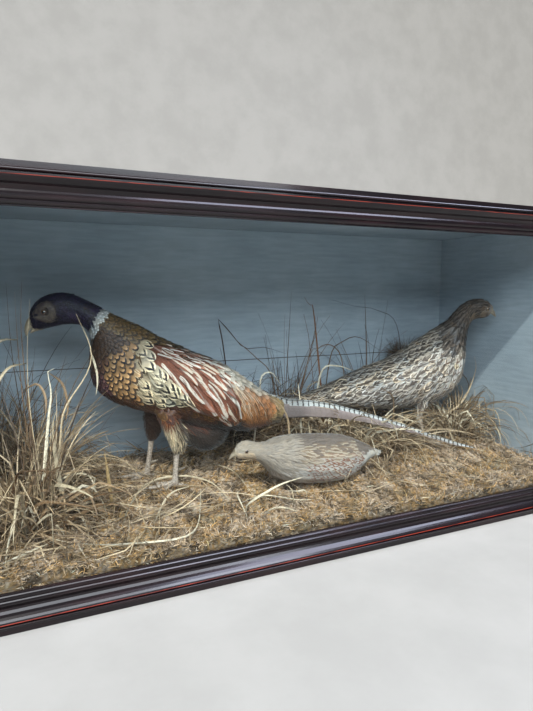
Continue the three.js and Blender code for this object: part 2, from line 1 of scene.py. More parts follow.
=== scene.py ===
"""A glazed case with a mounted cock ring-necked pheasant, a hen and a grey partridge: their
skins and coats, the moss and the grass, the materials, and the stage they are shown on.

Lengths are millimetres in each bird's own frame [forward, left, up] and in the case's frame
[right, back, up]; meshes are written in metres.
"""
import math

import bmesh
import bpy
import numpy as np
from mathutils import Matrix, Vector
from mathutils.bvhtree import BVHTree
from mathutils.kdtree import KDTree


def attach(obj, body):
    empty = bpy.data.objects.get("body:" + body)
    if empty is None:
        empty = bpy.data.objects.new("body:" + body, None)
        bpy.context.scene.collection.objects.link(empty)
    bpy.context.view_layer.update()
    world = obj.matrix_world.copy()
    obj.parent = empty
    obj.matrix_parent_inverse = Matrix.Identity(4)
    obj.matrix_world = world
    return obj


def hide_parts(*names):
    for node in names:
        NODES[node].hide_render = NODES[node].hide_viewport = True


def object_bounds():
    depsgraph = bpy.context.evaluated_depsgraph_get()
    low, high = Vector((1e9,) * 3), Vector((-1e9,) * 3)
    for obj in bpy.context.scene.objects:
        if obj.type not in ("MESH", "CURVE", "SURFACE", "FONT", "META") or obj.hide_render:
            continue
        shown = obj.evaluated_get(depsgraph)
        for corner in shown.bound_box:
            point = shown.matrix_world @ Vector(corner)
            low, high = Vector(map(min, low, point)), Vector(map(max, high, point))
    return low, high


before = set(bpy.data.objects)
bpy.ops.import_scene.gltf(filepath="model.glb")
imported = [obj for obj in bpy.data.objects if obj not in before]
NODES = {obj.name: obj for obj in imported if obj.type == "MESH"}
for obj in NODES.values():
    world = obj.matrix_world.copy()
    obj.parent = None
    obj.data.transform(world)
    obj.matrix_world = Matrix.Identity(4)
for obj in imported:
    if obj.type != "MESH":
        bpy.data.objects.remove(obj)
cad_low, cad_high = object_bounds()

BODY = "root"
M = 0.001  # one millimetre, in metres
WELD = 2e-5  # corners of the CAD nearer than this are one, in metres
BAKE_PATCH = 0.003  # a vane's size on the bake map
BAKE_EDGE = 0.03  # where a skin begins across the bake map
BAKE_SPAN = 0.94  # how much of the map it takes there


def smooth(low, high, value):
    """0 below low, 1 above high, and a smooth rise between them."""
    share = np.clip((np.asarray(value, float) - low) / (high - low), 0, 1)
    return share * share * (3 - 2 * share)


def unit(vectors):
    """The vectors, made one long."""
    return vectors / np.maximum(np.linalg.norm(vectors, axis=-1, keepdims=True), 1e-9)


def mixed(first, second, share):
    """The way from the first colours to the second, by a share for each row."""
    return first + (second - first) * np.asarray(share)[..., None]


def metres(points):
    return points * M


# ---- materials ----------------------------------------------------------------------------
class Finish:
    """A node material being built. Each method adds a node and gives back its output."""

    def __init__(self, name, values):
        self.material = bpy.data.materials.new(name)
        self.material.use_nodes = True
        self.nodes = self.material.node_tree.nodes
        self.links = self.material.node_tree.links
        self.shader = self.nodes["Principled BSDF"]
        for socket, value in values.items():
            self.put(self.shader, socket, value)

    def put(self, node, socket, value):
        target = node.inputs[socket]
        if isinstance(value, bpy.types.NodeSocket):
            self.links.new(value, target)
        elif isinstance(value, tuple) and len(value) == 3 and target.type == "RGBA":
            target.default_value = (*value, 1)
        else:
            target.default_value = value

    def add(self, kind, inputs, output=0, **settings):
        node = self.nodes.new("ShaderNode" + kind)
        for name, value in settings.items():
            setattr(node, name, value)
        for socket, value in inputs.items():
            self.put(node, socket, value)
        return node.outputs[output]

    def colour(self, value):
        self.put(self.shader, "Base Color", value)

    def place(self):
        """The point on the object, in metres."""
        return self.add("TexCoord", {}, "Object")

    def stretched(self, where, scale):
        return self.add("Mapping", {"Vector": where, "Scale": scale})

    def noise(self, where, scale, detail, roughness=0.5):
        inputs = {"Vector": where, "Scale": scale, "Detail": detail, "Roughness": roughness}
        return self.add("TexNoise", inputs)

    def math(self, operation, *values):
        return self.add("Math", dict(enumerate(values)), operation=operation)

    def gap(self, value, mark):
        """How far a value is from a mark."""
        return self.math("ABSOLUTE", self.math("SUBTRACT", value, mark))

    def remap(self, value, low, high, to_low=0.0, to_high=1.0):
        inputs = {"Value": value, 1: low, 2: high, 3: to_low, 4: to_high}
        return self.add("MapRange", inputs, interpolation_type="SMOOTHSTEP")

    def mix(self, share, first, second, blend="MIX"):
        inputs = {0: share, 6: first, 7: second}
        return self.add("Mix", inputs, 2, data_type="RGBA", blend_type=blend)

    def split(self, vector):
        """The three parts of a vector."""
        return self.add("SeparateXYZ", {"Vector": vector}).node.outputs

    def painted(self, name, output="Color"):
        return self.add("Attribute", {}, output, attribute_name=name)

    def bump(self, height, strength, distance):
        inputs = {"Height": height, "Strength": strength, "Distance": distance}
        self.put(self.shader, "Normal", self.add("Bump", inputs))


def shaded(finish, colour, share, low, high):
    """A colour made darker and lighter, from low to high, by a value from 0 to 1."""
    tint = finish.remap(share, 0.25, 0.75, low, high)
    grey = finish.add("CombineColor", {0: tint, 1: tint, 2: tint})
    return finish.mix(1.0, colour, grey, "MULTIPLY")


BARBS = 46.0  # barbs along a vane
BARS = 60.0  # how closely a barred vane is barred, in radians along it


def vane_masks(finish, across, along):
    """Where the crescent, the shaft streak, the chevron and the bars lie on a vane. along runs
    from 0 at its root to 1 at its tip, and across from 0 on the shaft to 1 at its edges."""
    maths = finish.math
    wobble = finish.noise(finish.place(), 420.0, 2.0)
    shaky = maths("MULTIPLY_ADD", wobble, 0.22, -0.11)
    beyond = maths("MAXIMUM", maths("MULTIPLY_ADD", along, 2.6, -1.6), 0.0)
    squares = maths("ADD", maths("POWER", across, 2.0), maths("POWER", beyond, 2.0))
    ragged = maths("ADD", maths("POWER", squares, 0.5), shaky)
    crescent = maths("MULTIPLY", finish.remap(ragged, 0.48, 0.58),
                     finish.remap(along, 0.56, 0.7))
    streak_edge = maths("MULTIPLY_ADD", along, 0.16, maths("ADD", across, shaky))
    streak = finish.remap(streak_edge, 0.52, 0.38)
    arm = maths("ADD", maths("MULTIPLY_ADD", across, 0.45, along), -0.93)
    off_arm = maths("ABSOLUTE", maths("ADD", arm, maths("MULTIPLY", shaky, 0.7)))
    chevron = maths("MULTIPLY", finish.remap(off_arm, 0.13, 0.1), finish.remap(across, 0.78, 0.6))
    wave = maths("SINE", maths("MULTIPLY_ADD", along, BARS, maths("MULTIPLY", shaky, 14.0)))
    bars = maths("MULTIPLY", finish.remap(wave, 0.45, 0.8), finish.remap(across, 1.0, 0.7))
    return crescent, streak, chevron, bars


def plumage(name, roughness, sheen, gloss=0.3, barb=1.0, root=0.62):
    """Feather vanes. Vertex colours give the tone and the marking, and the motif's channels
    say how much crescent, shaft streak, chevron and bar the vane carries. root is how dark
    the covered end is: painted shade where each vane lies under the ones above it."""
    finish = Finish(name, {
        "Roughness": roughness, "Specular IOR Level": gloss,
        "Sheen Weight": sheen, "Sheen Roughness": 0.4,
    })
    side, along, _ = finish.split(finish.add("UVMap", {}, uv_map="Vane"))
    off = finish.math("MULTIPLY_ADD", side, 2.0, -1.0)
    across = finish.math("ABSOLUTE", off)
    motif = finish.add("SeparateColor", {"Color": finish.painted("motif")})
    weights = [*motif.node.outputs, finish.painted("motif", "Alpha")]
    share = 0.0
    for mask, weight in zip(vane_masks(finish, across, along), weights):
        share = finish.math("MAXIMUM", share, finish.math("MULTIPLY", mask, weight))
    # painted shade: each vane darkened towards its root, where the vanes above cover it
    rooted = shaded(finish, finish.painted("tone"), finish.remap(along, 0.45, 0.95, 0.25, 0.75),
                    root, 1.5 - 0.5 * root)
    coloured = finish.mix(share, rooted, finish.painted("mark"))
    lean = finish.math("MULTIPLY_ADD", across, -0.55, along)
    barbs = finish.add("CombineXYZ", {0: finish.math("MULTIPLY", lean, BARBS), 1: off})
    fine = finish.noise(barbs, 3.0, 2.0, 0.6)
    finish.colour(shaded(finish, coloured, fine, 1 - 0.28 * barb, 1 + 0.22 * barb))
    finish.bump(fine, 0.3 * barb, 0.0005)
    return finish.material


def downy(name):
    """The skin under the feathers, in the same markings."""
    finish = Finish(name, {"Roughness": 0.95, "Sheen Weight": 0.3})
    grain = finish.noise(finish.stretched(finish.place(), (1.0, 1.0, 2.4)), 380.0, 4.0)
    finish.colour(shaded(finish, finish.painted("tone"), grain, 0.55, 0.9))
    finish.bump(grain, 0.6, 0.001)
    return finish.material


def tinted(name, low, high, scale, roughness, bump, depth=0.0003, values=None,
           stretch=(1, 1, 1)):
    """A surface that varies between two colours over a grain of the given scale."""
    finish = Finish(name, {"Roughness": roughness, **(values or {})})
    grain = finish.noise(finish.stretched(finish.place(), stretch), scale, 5.0, 0.6)
    finish.colour(finish.mix(finish.remap(grain, 0.32, 0.68), low, high))
    finish.bump(grain, bump, depth)
    return finish.material


def strand(name, roughness, gloss, root=1.0):
    """Dry stems and moss: each strand's own colour, blotched, with painted shade that darkens it
    towards its root.
    """
    finish = Finish(name, {"Roughness": roughness, "Specular IOR Level": gloss})
    fine = finish.noise(finish.place(), 300.0, 3.0)
    across, along, _ = finish.split(finish.add("UVMap", {}, uv_map="Vane"))
    lengthwise = finish.add("CombineXYZ", {
        0: finish.math("MULTIPLY", across, 14.0), 1: finish.math("MULTIPLY", along, 3.0)})
    fibres = finish.noise(lengthwise, 1.0, 2.0)
    # painted shade: darker towards the root, where the strands crowd together
    rooted = shaded(finish, finish.painted("tone"),
                    finish.remap(along, 0.0, 0.45, 0.25, 0.75), root, 1.0)
    striped = shaded(finish, rooted, fibres, 0.72, 1.15)
    finish.colour(shaded(finish, striped, fine, 0.7, 1.2))
    finish.bump(fine, 0.3, 0.0004)
    return finish.material


# ---- meshes -------------------------------------------------------------------------------
def mesh_of(name, points, quads, triangles):
    """A mesh from arrays, in metres."""
    quads = np.asarray(quads, np.int32).reshape(-1, 4)
    triangles = np.asarray(triangles, np.int32).reshape(-1, 3)
    corners = np.concatenate([quads.ravel(), triangles.ravel()])
    starts = np.concatenate([
        np.arange(len(quads)) * 4, len(quads) * 4 + np.arange(len(triangles)) * 3])
    mesh = bpy.data.meshes.new(name)
    mesh.vertices.add(len(points))
    mesh.vertices.foreach_set("co", np.asarray(points, np.float32).ravel())
    mesh.loops.add(len(corners))
    mesh.loops.foreach_set("vertex_index", corners)
    mesh.polygons.add(len(starts))
    mesh.polygons.foreach_set("loop_start", starts.astype(np.int32))
    mesh.update(calc_edges=True)
    mesh.shade_smooth()
    return mesh


def placed(name, data):
    """A new object in the scene."""
    thing = bpy.data.objects.new(name, data)
    bpy.context.scene.collection.objects.link(thing)
    return thing


def show(name, mesh, material, stands_for=()):
    """Puts a mesh in the scene as a piece of the object."""
    piece = placed(name, mesh)
    mesh.materials.append(material)
    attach(piece, BODY)
    if stands_for:
        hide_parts(*stands_for)


def paint(mesh, name, colours):
    """Gives each vertex a colour, of three or four channels."""
    colours = np.asarray(colours, float)
    if colours.shape[1] == 3:
        colours = np.hstack([colours, np.ones((len(colours), 1))])
    layer = mesh.attributes.new(name, "FLOAT_COLOR", "POINT")
    layer.data.foreach_set("color", colours.astype(np.float32).ravel())


def corner_vertices(mesh):
    """The vertex at each corner of the mesh's faces."""
    corners = np.zeros(len(mesh.loops), np.int32)
    mesh.loops.foreach_get("vertex_index", corners)
    return corners


def chart(mesh, name, places):
    """A UV map from one place for each corner of the mesh's faces."""
    layer = mesh.uv_layers.new(name=name)
    layer.data.foreach_set("uv", places.astype(np.float32).ravel())


def ring_quads(count, rings, sides, first=0):
    """The quads that skin count stacks of rings, each stack's points in a row."""
    stack = np.arange(count)[:, None, None] * rings * sides
    ring = np.arange(rings - 1)[None, :, None] * sides
    side = np.arange(sides)[None, None, :]
    here = first + stack + ring + side
    beside = first + stack + ring + (side + 1) % sides
    return np.stack([here, beside, beside + sides, here + sides], -1).reshape(-1, 4)


class Strips:
    """Many thin closed vanes: a centre line each, with its normals and half widths.

    Each ring is the left edge, the raised middle, the right edge and the underside. A soft set
    takes its shading from the skin below it, rolled off to each side."""

    SIDES = 4
    DIP = 0.16  # how far a vane's shading leans forward at its tip
    ROLL = 0.22  # how far it leans out at the edges

    def __init__(self, soft=False):
        self.batches = []
        self.soft = soft

    def add(self, line, normal, half, lift, camber, thick, paints, bake, repeat=1.0):
        """Adds a batch. line and normal are (vanes, stations, 3), half is (vanes, stations),
        and lift is the same or one number. paints holds each vane's tone, mark and motif, and
        bake its place on the bake map."""
        ahead = unit(np.gradient(line, axis=1))
        side = unit(np.cross(normal, ahead))
        up = unit(np.cross(ahead, side))
        middle = line + up * np.broadcast_to(lift, half.shape)[..., None]
        sag = (camber * half)[..., None] * up
        half = half[..., None]
        thick = np.broadcast_to(np.asarray(thick, float), half.shape[:2])[..., None]
        rings = np.stack([
            middle - side * half - sag,
            middle,
            middle + side * half - sag,
            middle - up * thick - 0.8 * sag,
        ], 2)
        widest = np.maximum(half.max(axis=1, keepdims=True), 1e-6)
        span = (half / widest)[..., 0]
        shares = self.shares(line)
        shaft = np.full_like(span, 0.5)
        across = np.stack([0.5 - 0.5 * span, shaft, 0.5 + 0.5 * span, shaft], 2)
        along = np.repeat(repeat * shares[..., None], self.SIDES, 2)
        crown = unit(up + self.DIP * (shares - 0.4)[..., None] * ahead)
        upright = np.stack([unit(crown - self.ROLL * side), crown,
                            unit(crown + self.ROLL * side), crown], 2)
        self.batches.append({
            "count": line.shape[0], "stations": line.shape[1],
            "points": rings.reshape(-1, 3), "upright": upright.reshape(-1, 3),
            "vane": np.stack([across, along], -1).reshape(-1, 2),
            "paints": paints, "bake": bake,
        })

    @staticmethod
    def shares(line):
        """How far along its line each station is, from 0 to 1."""
        step = np.linalg.norm(np.diff(line, axis=1), axis=-1)
        run = np.concatenate([np.zeros((len(line), 1)), np.cumsum(step, 1)], 1)
        return run / np.maximum(run[:, -1:], 1e-9)

    def joined(self, key):
        """One array of all the batches."""
        return np.concatenate([batch[key] for batch in self.batches])

    def build(self, name, to_world):
        """The vanes as one mesh. to_world turns millimetres in the bird's frame into metres."""
        quads, bake, paints = [], [], []
        first = 0
        for batch in self.batches:
            count, stations = batch["count"], batch["stations"]
            each = stations * self.SIDES
            quads.append(ring_quads(count, stations, self.SIDES, first)[:, ::-1])
            root = first + np.arange(count)[:, None] * each + np.arange(self.SIDES)
            quads.extend([root, root[:, ::-1] + each - self.SIDES])
            patch = BAKE_PATCH * (np.minimum(batch["vane"], 1) - 0.5)
            bake.append(np.repeat(batch["bake"], each, 0) + patch)
            paints.append([np.repeat(colours, each, 0) for colours in batch["paints"]])
            first += count * each
        mesh = mesh_of(name, to_world(self.joined("points")), np.concatenate(quads), [])
        for layer, colours in zip(("tone", "mark", "motif"), zip(*paints)):
            paint(mesh, layer, np.concatenate(colours))
        corners = corner_vertices(mesh)
        chart(mesh, "Vane", self.joined("vane")[corners])
        chart(mesh, "OFBake", np.concatenate(bake)[corners])
        if self.soft:
            self.shade_softly(mesh, to_world)
        else:
            sharpen(mesh)
        return mesh

    def show(self, name, to_world, material, slot, stands_for=()):
        """Shows the vanes as one piece."""
        show(name, self.build(name, to_world), material, stands_for)

    def shade_softly(self, mesh, to_world):
        """Shades the upper faces as the skin is shaded there, and the lower ones as its back."""
        upright = self.joined("upright")
        below = []
        for batch in self.batches:
            walls = batch["count"] * (batch["stations"] - 1)
            below.append(np.tile([False, False, True, True], walls))
            below.append(np.zeros(2 * batch["count"], bool))
        corners = upright[corner_vertices(mesh)].reshape(-1, 4, 3)
        corners[np.concatenate(below)] *= -1
        flat = corners.reshape(-1, 3)
        turned = unit(to_world(flat) - to_world(np.zeros_like(flat)))
        mesh.normals_split_custom_set(turned.tolist())


def sharpen(mesh):
    """Keeps the edges of vanes crisp, so that their faces shade flat across."""
    pairs = np.zeros(len(mesh.edges) * 2, np.int32)
    mesh.edges.foreach_get("vertices", pairs)
    sides = pairs.reshape(-1, 2) % Strips.SIDES
    crisp = (sides[:, 0] == sides[:, 1]) & (sides[:, 0] % 2 == 0)
    layer = mesh.attributes.new("sharp_edge", "BOOLEAN", "EDGE")
    layer.data.foreach_set("value", crisp)


def lofted(sections, sides, power=2.0):
    """A closed tube through oval sections, each given as its centre and the vectors to its
    side and its top. A power below 2 makes the oval nearer a lozenge."""
    angle = np.arange(sides) / sides * 2 * math.pi
    wave = np.stack([np.cos(angle), np.sin(angle)], 1)
    wave = np.sign(wave) * np.abs(wave) ** (2 / power)
    rings = [np.asarray(centre, float) + wave[:, :1] * side + wave[:, 1:] * up
             for centre, side, up in sections]
    points = np.concatenate(rings)
    quads = ring_quads(1, len(sections), sides)
    ends = np.array([sections[0][0], sections[-1][0]], float)
    first = np.arange(sides)
    nearer = np.stack([(first + 1) % sides, first, np.full(sides, len(points))], 1)
    base = (len(sections) - 1) * sides
    farther = np.stack([
        base + first, base + (first + 1) % sides, np.full(sides, len(points) + 1)], 1)
    return np.concatenate([points, ends]), quads, np.concatenate([nearer, farther])


def outward(mesh):
    """Turns all faces out."""
    work = bmesh.new()
    work.from_mesh(mesh)
    bmesh.ops.recalc_face_normals(work, faces=work.faces)
    work.to_mesh(mesh)
    work.free()
    return mesh


# ---- surfaces -----------------------------------------------------------------------------
class Surface:
    """A triangle mesh that can be asked for its nearest point and its smooth normal there."""

    CROWDING = 5.0  # random points for each root that is kept, or more
    REACH = 1.35  # how far roots push each other apart, as a share of the spacing
    ROUNDS = 4

    def __init__(self, points, triangles):
        self.points = points
        self.triangles = triangles
        corners = points[triangles]
        cross = np.cross(corners[:, 1] - corners[:, 0], corners[:, 2] - corners[:, 0])
        self.areas = np.linalg.norm(cross, axis=1) / 2
        normals = np.zeros_like(points)
        for corner in range(3):
            for axis in range(3):
                normals[:, axis] += np.bincount(
                    triangles[:, corner], cross[:, axis], len(points))
        self.normals = unit(normals)
        self.tree = BVHTree.FromPolygons(points.tolist(), triangles.tolist())

    def nearest(self, targets):
        """The nearest points of the surface and its normals there."""
        found = [self.tree.find_nearest(target) for target in targets.tolist()]
        spots = np.array([hit[0] for hit in found], float)
        corners = self.triangles[[hit[2] for hit in found]]
        weights = barycentric(spots, self.points[corners])
        return spots, unit((self.normals[corners] * weights[..., None]).sum(1))

    def scatter(self, spacing, rng):
        """Random points, thicker where the spacing is small."""
        gaps = spacing(self.points[self.triangles].mean(1))
        density = self.areas / gaps ** 2
        count = int(self.CROWDING * density.sum())
        chosen = rng.choice(len(density), count, p=density / density.sum())
        share = rng.random((count, 2))
        over = share.sum(1) > 1
        share[over] = 1 - share[over]
        a, b, c = (self.points[self.triangles[chosen, corner]] for corner in range(3))
        return a + (b - a) * share[:, :1] + (c - a) * share[:, 1:]

    def roots(self, spacing, rng):
        """Points spread evenly, no two nearer than the spacing there."""
        points = self.scatter(spacing, rng)
        gaps = spacing(points)
        tree = tree_of(points)
        free = np.ones(len(points), bool)
        kept = []
        for index in range(len(points)):
            if free[index]:
                kept.append(index)
                for _, other, _ in tree.find_range(points[index], gaps[index]):
                    free[other] = False
        points = points[kept]
        for _ in range(self.ROUNDS):
            points = self.nearest(pushed_apart(points, self.REACH * spacing(points)))[0]
        return points


def tree_of(points):
    tree = KDTree(len(points))
    for index, point in enumerate(points):
        tree.insert(point, index)
    tree.balance()
    return tree


NUDGE = 0.18  # how far a point moves, as a share of what it lacks


def pushed_apart(points, reach):
    """The points, each moved away from those that are nearer than its reach."""
    tree = tree_of(points)
    moved = points.copy()
    for index, point in enumerate(points):
        near = tree.find_range(point, reach[index])
        away = np.array([point - np.array(spot) for spot, other, _ in near if other != index])
        if len(away):
            gap = np.linalg.norm(away, axis=1, keepdims=True)
            push = away / np.maximum(gap, 1e-6) * (reach[index] - gap)
            moved[index] += push.sum(0) * NUDGE
    return moved


def barycentric(spots, corners):
    """How much each corner of its triangle weighs at each spot."""
    a, b, c = corners[:, 0], corners[:, 1], corners[:, 2]
    ab, ac, ap = b - a, c - a, spots - a
    d00, d01, d11 = (ab * ab).sum(1), (ab * ac).sum(1), (ac * ac).sum(1)
    d20, d21 = (ap * ab).sum(1), (ap * ac).sum(1)
    scale = np.maximum(d00 * d11 - d01 * d01, 1e-12)
    v = np.clip((d11 * d20 - d01 * d21) / scale, 0, 1)
    w = np.clip((d00 * d21 - d01 * d20) / scale, 0, 1)
    return np.stack([np.clip(1 - v - w, 0, 1), v, w], 1)


def triangles_of(mesh):
    mesh.calc_loop_triangles()
    triangles = np.zeros(len(mesh.loop_triangles) * 3, np.int32)
    mesh.loop_triangles.foreach_get("vertices", triangles)
    return triangles.reshape(-1, 3)


def points_of(mesh):
    points = np.zeros(len(mesh.vertices) * 3)
    mesh.vertices.foreach_get("co", points)
    return points.reshape(-1, 3)


def edges_of(triangles):
    """Every edge, once each way."""
    pairs = np.concatenate([triangles[:, [0, 1]], triangles[:, [1, 2]], triangles[:, [2, 0]]])
    pairs = np.unique(np.sort(pairs, axis=1), axis=0)
    return np.concatenate([pairs, pairs[:, ::-1]])


def relaxed(points, triangles, rounds, pull=0.6, push=-0.62):
    """Smooths a surface without shrinking it."""
    links = edges_of(triangles)
    share = np.bincount(links[:, 0], minlength=len(points)).astype(float)[:, None]
    for step in range(rounds * 2):
        total = np.stack([
            np.bincount(links[:, 0], points[links[:, 1], axis], len(points))
            for axis in range(3)], 1)
        factor = pull if step % 2 == 0 else push
        points = points + factor * (total / np.maximum(share, 1) - points)
    return points


def cad_copy(nodes, push):
    """The CAD nodes as one mesh with merged doubles, each pushed out along its normals."""
    work = bmesh.new()
    for node in nodes:
        one = bmesh.new()
        one.from_mesh(NODES[node].data)
        bmesh.ops.remove_doubles(one, verts=one.verts, dist=WELD)
        bmesh.ops.recalc_face_normals(one, faces=one.faces)
        one.normal_update()
        for vertex in one.verts:
            vertex.co += vertex.normal * push
        mesh = bpy.data.meshes.new(node)
        one.to_mesh(mesh)
        one.free()
        work.from_mesh(mesh)
        bpy.data.meshes.remove(mesh)
    mesh = bpy.data.meshes.new("copy")
    work.to_mesh(mesh)
    work.free()
    return mesh


def voxel_shell(nodes, voxel, push=0.5):
    """One closed surface over several CAD nodes, as points and triangles in metres."""
    holder = placed("shell", cad_copy(nodes, push * M))
    remesh = holder.modifiers.new("voxels", "REMESH")
    remesh.mode = "VOXEL"
    remesh.voxel_size = voxel * M
    solid = holder.evaluated_get(bpy.context.evaluated_depsgraph_get()).to_mesh()
    points, triangles = points_of(solid), triangles_of(solid)
    source = holder.data
    bpy.data.objects.remove(holder)
    bpy.data.meshes.remove(source)
    return points, triangles


# ---- birds --------------------------------------------------------------------------------
class Bird:
    """A bird's own frame: where it stands, the way it faces and how its coat lies."""

    def __init__(self, x, y, facing, anchors, axis):
        """anchors lists places and the way feathers point there: [x, y, z, forward, up]."""
        self.origin = np.array([x, y, 0.0])
        turn = math.radians(facing)
        ahead = np.array([math.cos(turn), math.sin(turn), 0])
        self.basis = np.stack([ahead, [-ahead[1], ahead[0], 0], [0, 0, 1.0]])
        anchors = np.array(anchors, float)
        self.places = anchors[:, :3]
        self.headings = unit(np.insert(anchors[:, 3:], 1, 0, axis=1))
        self.axis = np.array(axis, float)

    def world(self, local):
        return (local @ self.basis + self.origin) * M

    def local(self, world):
        return (world / M - self.origin) @ self.basis.T

    def lie(self, points):
        """The way feathers point, from the anchors near each place. Both sides are alike."""
        folded = points * [1, 0, 1] + np.abs(points) * [0, 1, 0]
        gap = ((folded[:, None] - self.places[None]) ** 2).sum(-1)
        share = 1 / (gap + 30) ** 1.6
        heading = (share[..., None] * self.headings[None]).sum(1)
        heading[:, 1] *= np.sign(points[:, 1])
        return unit(heading)

    def unwrap(self, points):
        """Where a point lies on the skin laid flat: along the body's axis and round it."""
        start, end = self.axis[:-1], self.axis[1:]
        run = end - start
        size = (run ** 2).sum(1)
        side_view = points[:, None, ::2] - start[None]
        share = np.clip((side_view * run[None]).sum(-1) / size, 0, 1)
        foot = start[None] + share[..., None] * run[None]
        away = points[:, None, ::2] - foot
        best = (away ** 2).sum(-1).argmin(1)
        rows = np.arange(len(points))
        length = np.concatenate([[0], np.cumsum(np.sqrt(size))])
        along = (length[best] + share[rows, best] * np.sqrt(size[best])) / length[-1]
        across = np.stack([-run[:, 1], run[:, 0]], 1) / np.sqrt(size)[:, None]
        rise = (away[rows, best] * across[best]).sum(1)
        round_it = np.arctan2(points[:, 1], rise) / (2 * math.pi) + 0.5
        return np.stack([0.02 + 0.96 * along, BAKE_EDGE + BAKE_SPAN * round_it], 1)


def lay_lines(bird, surface, roots, length, shares, heading=None):
    """Lines over a surface from each root, following the lie of the coat."""
    spots, normals = surface.nearest(roots)
    line, upright = [spots], [normals]
    for step in np.diff(shares):
        way = bird.lie(spots) if heading is None else heading(spots)
        way = unit(way - (way * normals).sum(1, keepdims=True) * normals)
        spots, normals = surface.nearest(spots + way * (length * step)[:, None])
        line.append(spots)
        upright.append(normals)
    return np.stack(line, 1), np.stack(upright, 1)


# Each cut of vane: the stations along it, and its width at each, as shares
CUTS = {
    "quill": ([0, 0.2, 0.4, 0.6, 0.78, 0.92, 1.0], [0.3, 0.7, 1.0, 1.0, 0.78, 0.4, 0.08]),
    "vane": ([0, 0.3, 0.55, 0.76, 0.92, 1.0], [0.3, 0.8, 1.0, 0.93, 0.6, 0.16]),
    "small": ([0, 0.45, 0.82, 1.0], [0.5, 1.0, 0.7, 0.14]),
    "hair": ([0, 0.3, 0.6, 0.85, 1.0], [0.8, 1.0, 0.9, 0.6, 0.12]),
}


class Skin:
    """A bird's skin, cut back from the CAD's outline by the coat's depth."""

    def __init__(self, bird, nodes, voxel, depth, rounds=14):
        points, triangles = voxel_shell(nodes, voxel)
        points = relaxed(bird.local(points), triangles, rounds)
        self.bird = bird
        self.outer = Surface(points, triangles)
        self.depth = depth
        inner = points - self.outer.normals * depth(points)[:, None]
        self.inner = relaxed(inner, triangles, 2)

    def show(self, name, markings, materials, which, slot, nodes):
        """Shows the skin. which picks one of the materials for each face."""
        mesh = mesh_of(name, self.bird.world(self.inner), [], self.outer.triangles)
        paint(mesh, "tone", markings(self.outer.points, None)[0])
        places = self.bird.unwrap(self.outer.points)[corner_vertices(mesh)].reshape(-1, 3, 2)
        wrapped = np.ptp(places[..., 1], axis=1) > 0.5
        low = wrapped[:, None] & (places[..., 1] < 0.5)
        places[..., 1] += np.where(low, BAKE_SPAN, 0)
        chart(mesh, "OFBake", places)
        middle = self.outer.points[self.outer.triangles].mean(1)
        mesh.polygons.foreach_set("material_index", which(middle).astype(np.int32))
        show(name, mesh, materials[0], nodes)
        for material in materials[1:]:
            mesh.materials.append(material)


def clothe(skin, strips, roots, markings, length, width, rng, cut="vane", lift=0.3, camber=0.08,
           thick=0.2, heading=None, stray=0.0):
    """Lays one vane from each root. length and width are in millimetres, for each vane or for
    all; lift is how far the tips stand off, and stray how far they wander sideways."""
    shares, widths = (np.array(row) for row in CUTS[cut])
    length = length * rng.uniform(0.88, 1.12, len(roots))
    width = np.broadcast_to(width, len(roots))
    line, normal = lay_lines(skin.bird, skin.outer, roots, length, shares, heading)
    if stray:
        sideways = np.cross(normal, unit(np.gradient(line, axis=1)))
        wander = rng.normal(0, stray, (len(roots), 1)) * shares[None] ** 1.5
        line = line + sideways * wander[..., None]
    depth = skin.depth(line[:, 0])[:, None]
    rise = shares[None] ** 0.7
    height = -depth * (1 - rise) + lift * rise * rng.uniform(0.3, 1.6, (len(roots), 1))
    half = width[:, None] / 2 * widths[None] * rng.uniform(0.9, 1.1, (len(roots), 1))
    strips.add(line, normal, half, height, camber, thick, markings(roots, rng),
               skin.bird.unwrap(roots))


def within(outline, points, soft=4.0):
    """1 inside an outline in the side view, 0 outside, and soft at its edge."""
    outline = np.array(outline, float)
    spots = points[:, ::2]
    start, end = outline, np.roll(outline, -1, 0)
    run = end - start
    away = spots[:, None] - start[None]
    share = np.clip((away * run).sum(-1) / (run ** 2).sum(-1), 0, 1)
    gap = np.linalg.norm(away - share[..., None] * run, axis=-1).min(1)
    above = (start[None, :, 1] > spots[:, None, 1]) != (end[None, :, 1] > spots[:, None, 1])
    rise = np.where(run[:, 1] == 0, 1e-9, run[:, 1])
    cross = start[None, :, 0] + (spots[:, None, 1] - start[None, :, 1]) / rise * run[:, 0]
    odd = (above & (spots[:, None, 0] < cross)).sum(1) % 2 == 1
    return smooth(-soft, soft, np.where(odd, gap, -gap))


class Plumes:
    """The markings of a bird: each kind of feather's tone, marking and motif."""

    def __init__(self, kinds):
        self.names = list(kinds)
        rows = [kinds[name] for name in self.names]
        self.tones = np.array([row[0] for row in rows], float)
        self.marks = np.array([row[1] for row in rows], float)
        self.motifs = np.array([row[2] for row in rows], float)

    def pick(self, weights, rng, spread=0.1):
        """Tone, mark and motif by weight: blended on the skin, one kind for each feather."""
        weights = weights / np.maximum(weights.sum(1, keepdims=True), 1e-9)
        if rng is None:
            return weights @ self.tones, weights @ self.marks, weights @ self.motifs
        noisy = weights * rng.uniform(0.55, 1.45, weights.shape)
        kind = noisy.argmax(1)
        tones = 0.65 * self.tones[kind] + 0.35 * (weights @ self.tones)
        shade = rng.normal(1, spread, (len(kind), 1))
        warmth = rng.normal(0, spread * 0.35, (len(kind), 1)) * np.array([1, 0.1, -1])
        tones = np.clip(tones * shade * (1 + warmth), 0.002, 0.95)
        motifs = self.motifs[kind] * rng.uniform(0.88, 1.0, (len(kind), 4))
        return tones, self.marks[kind], motifs


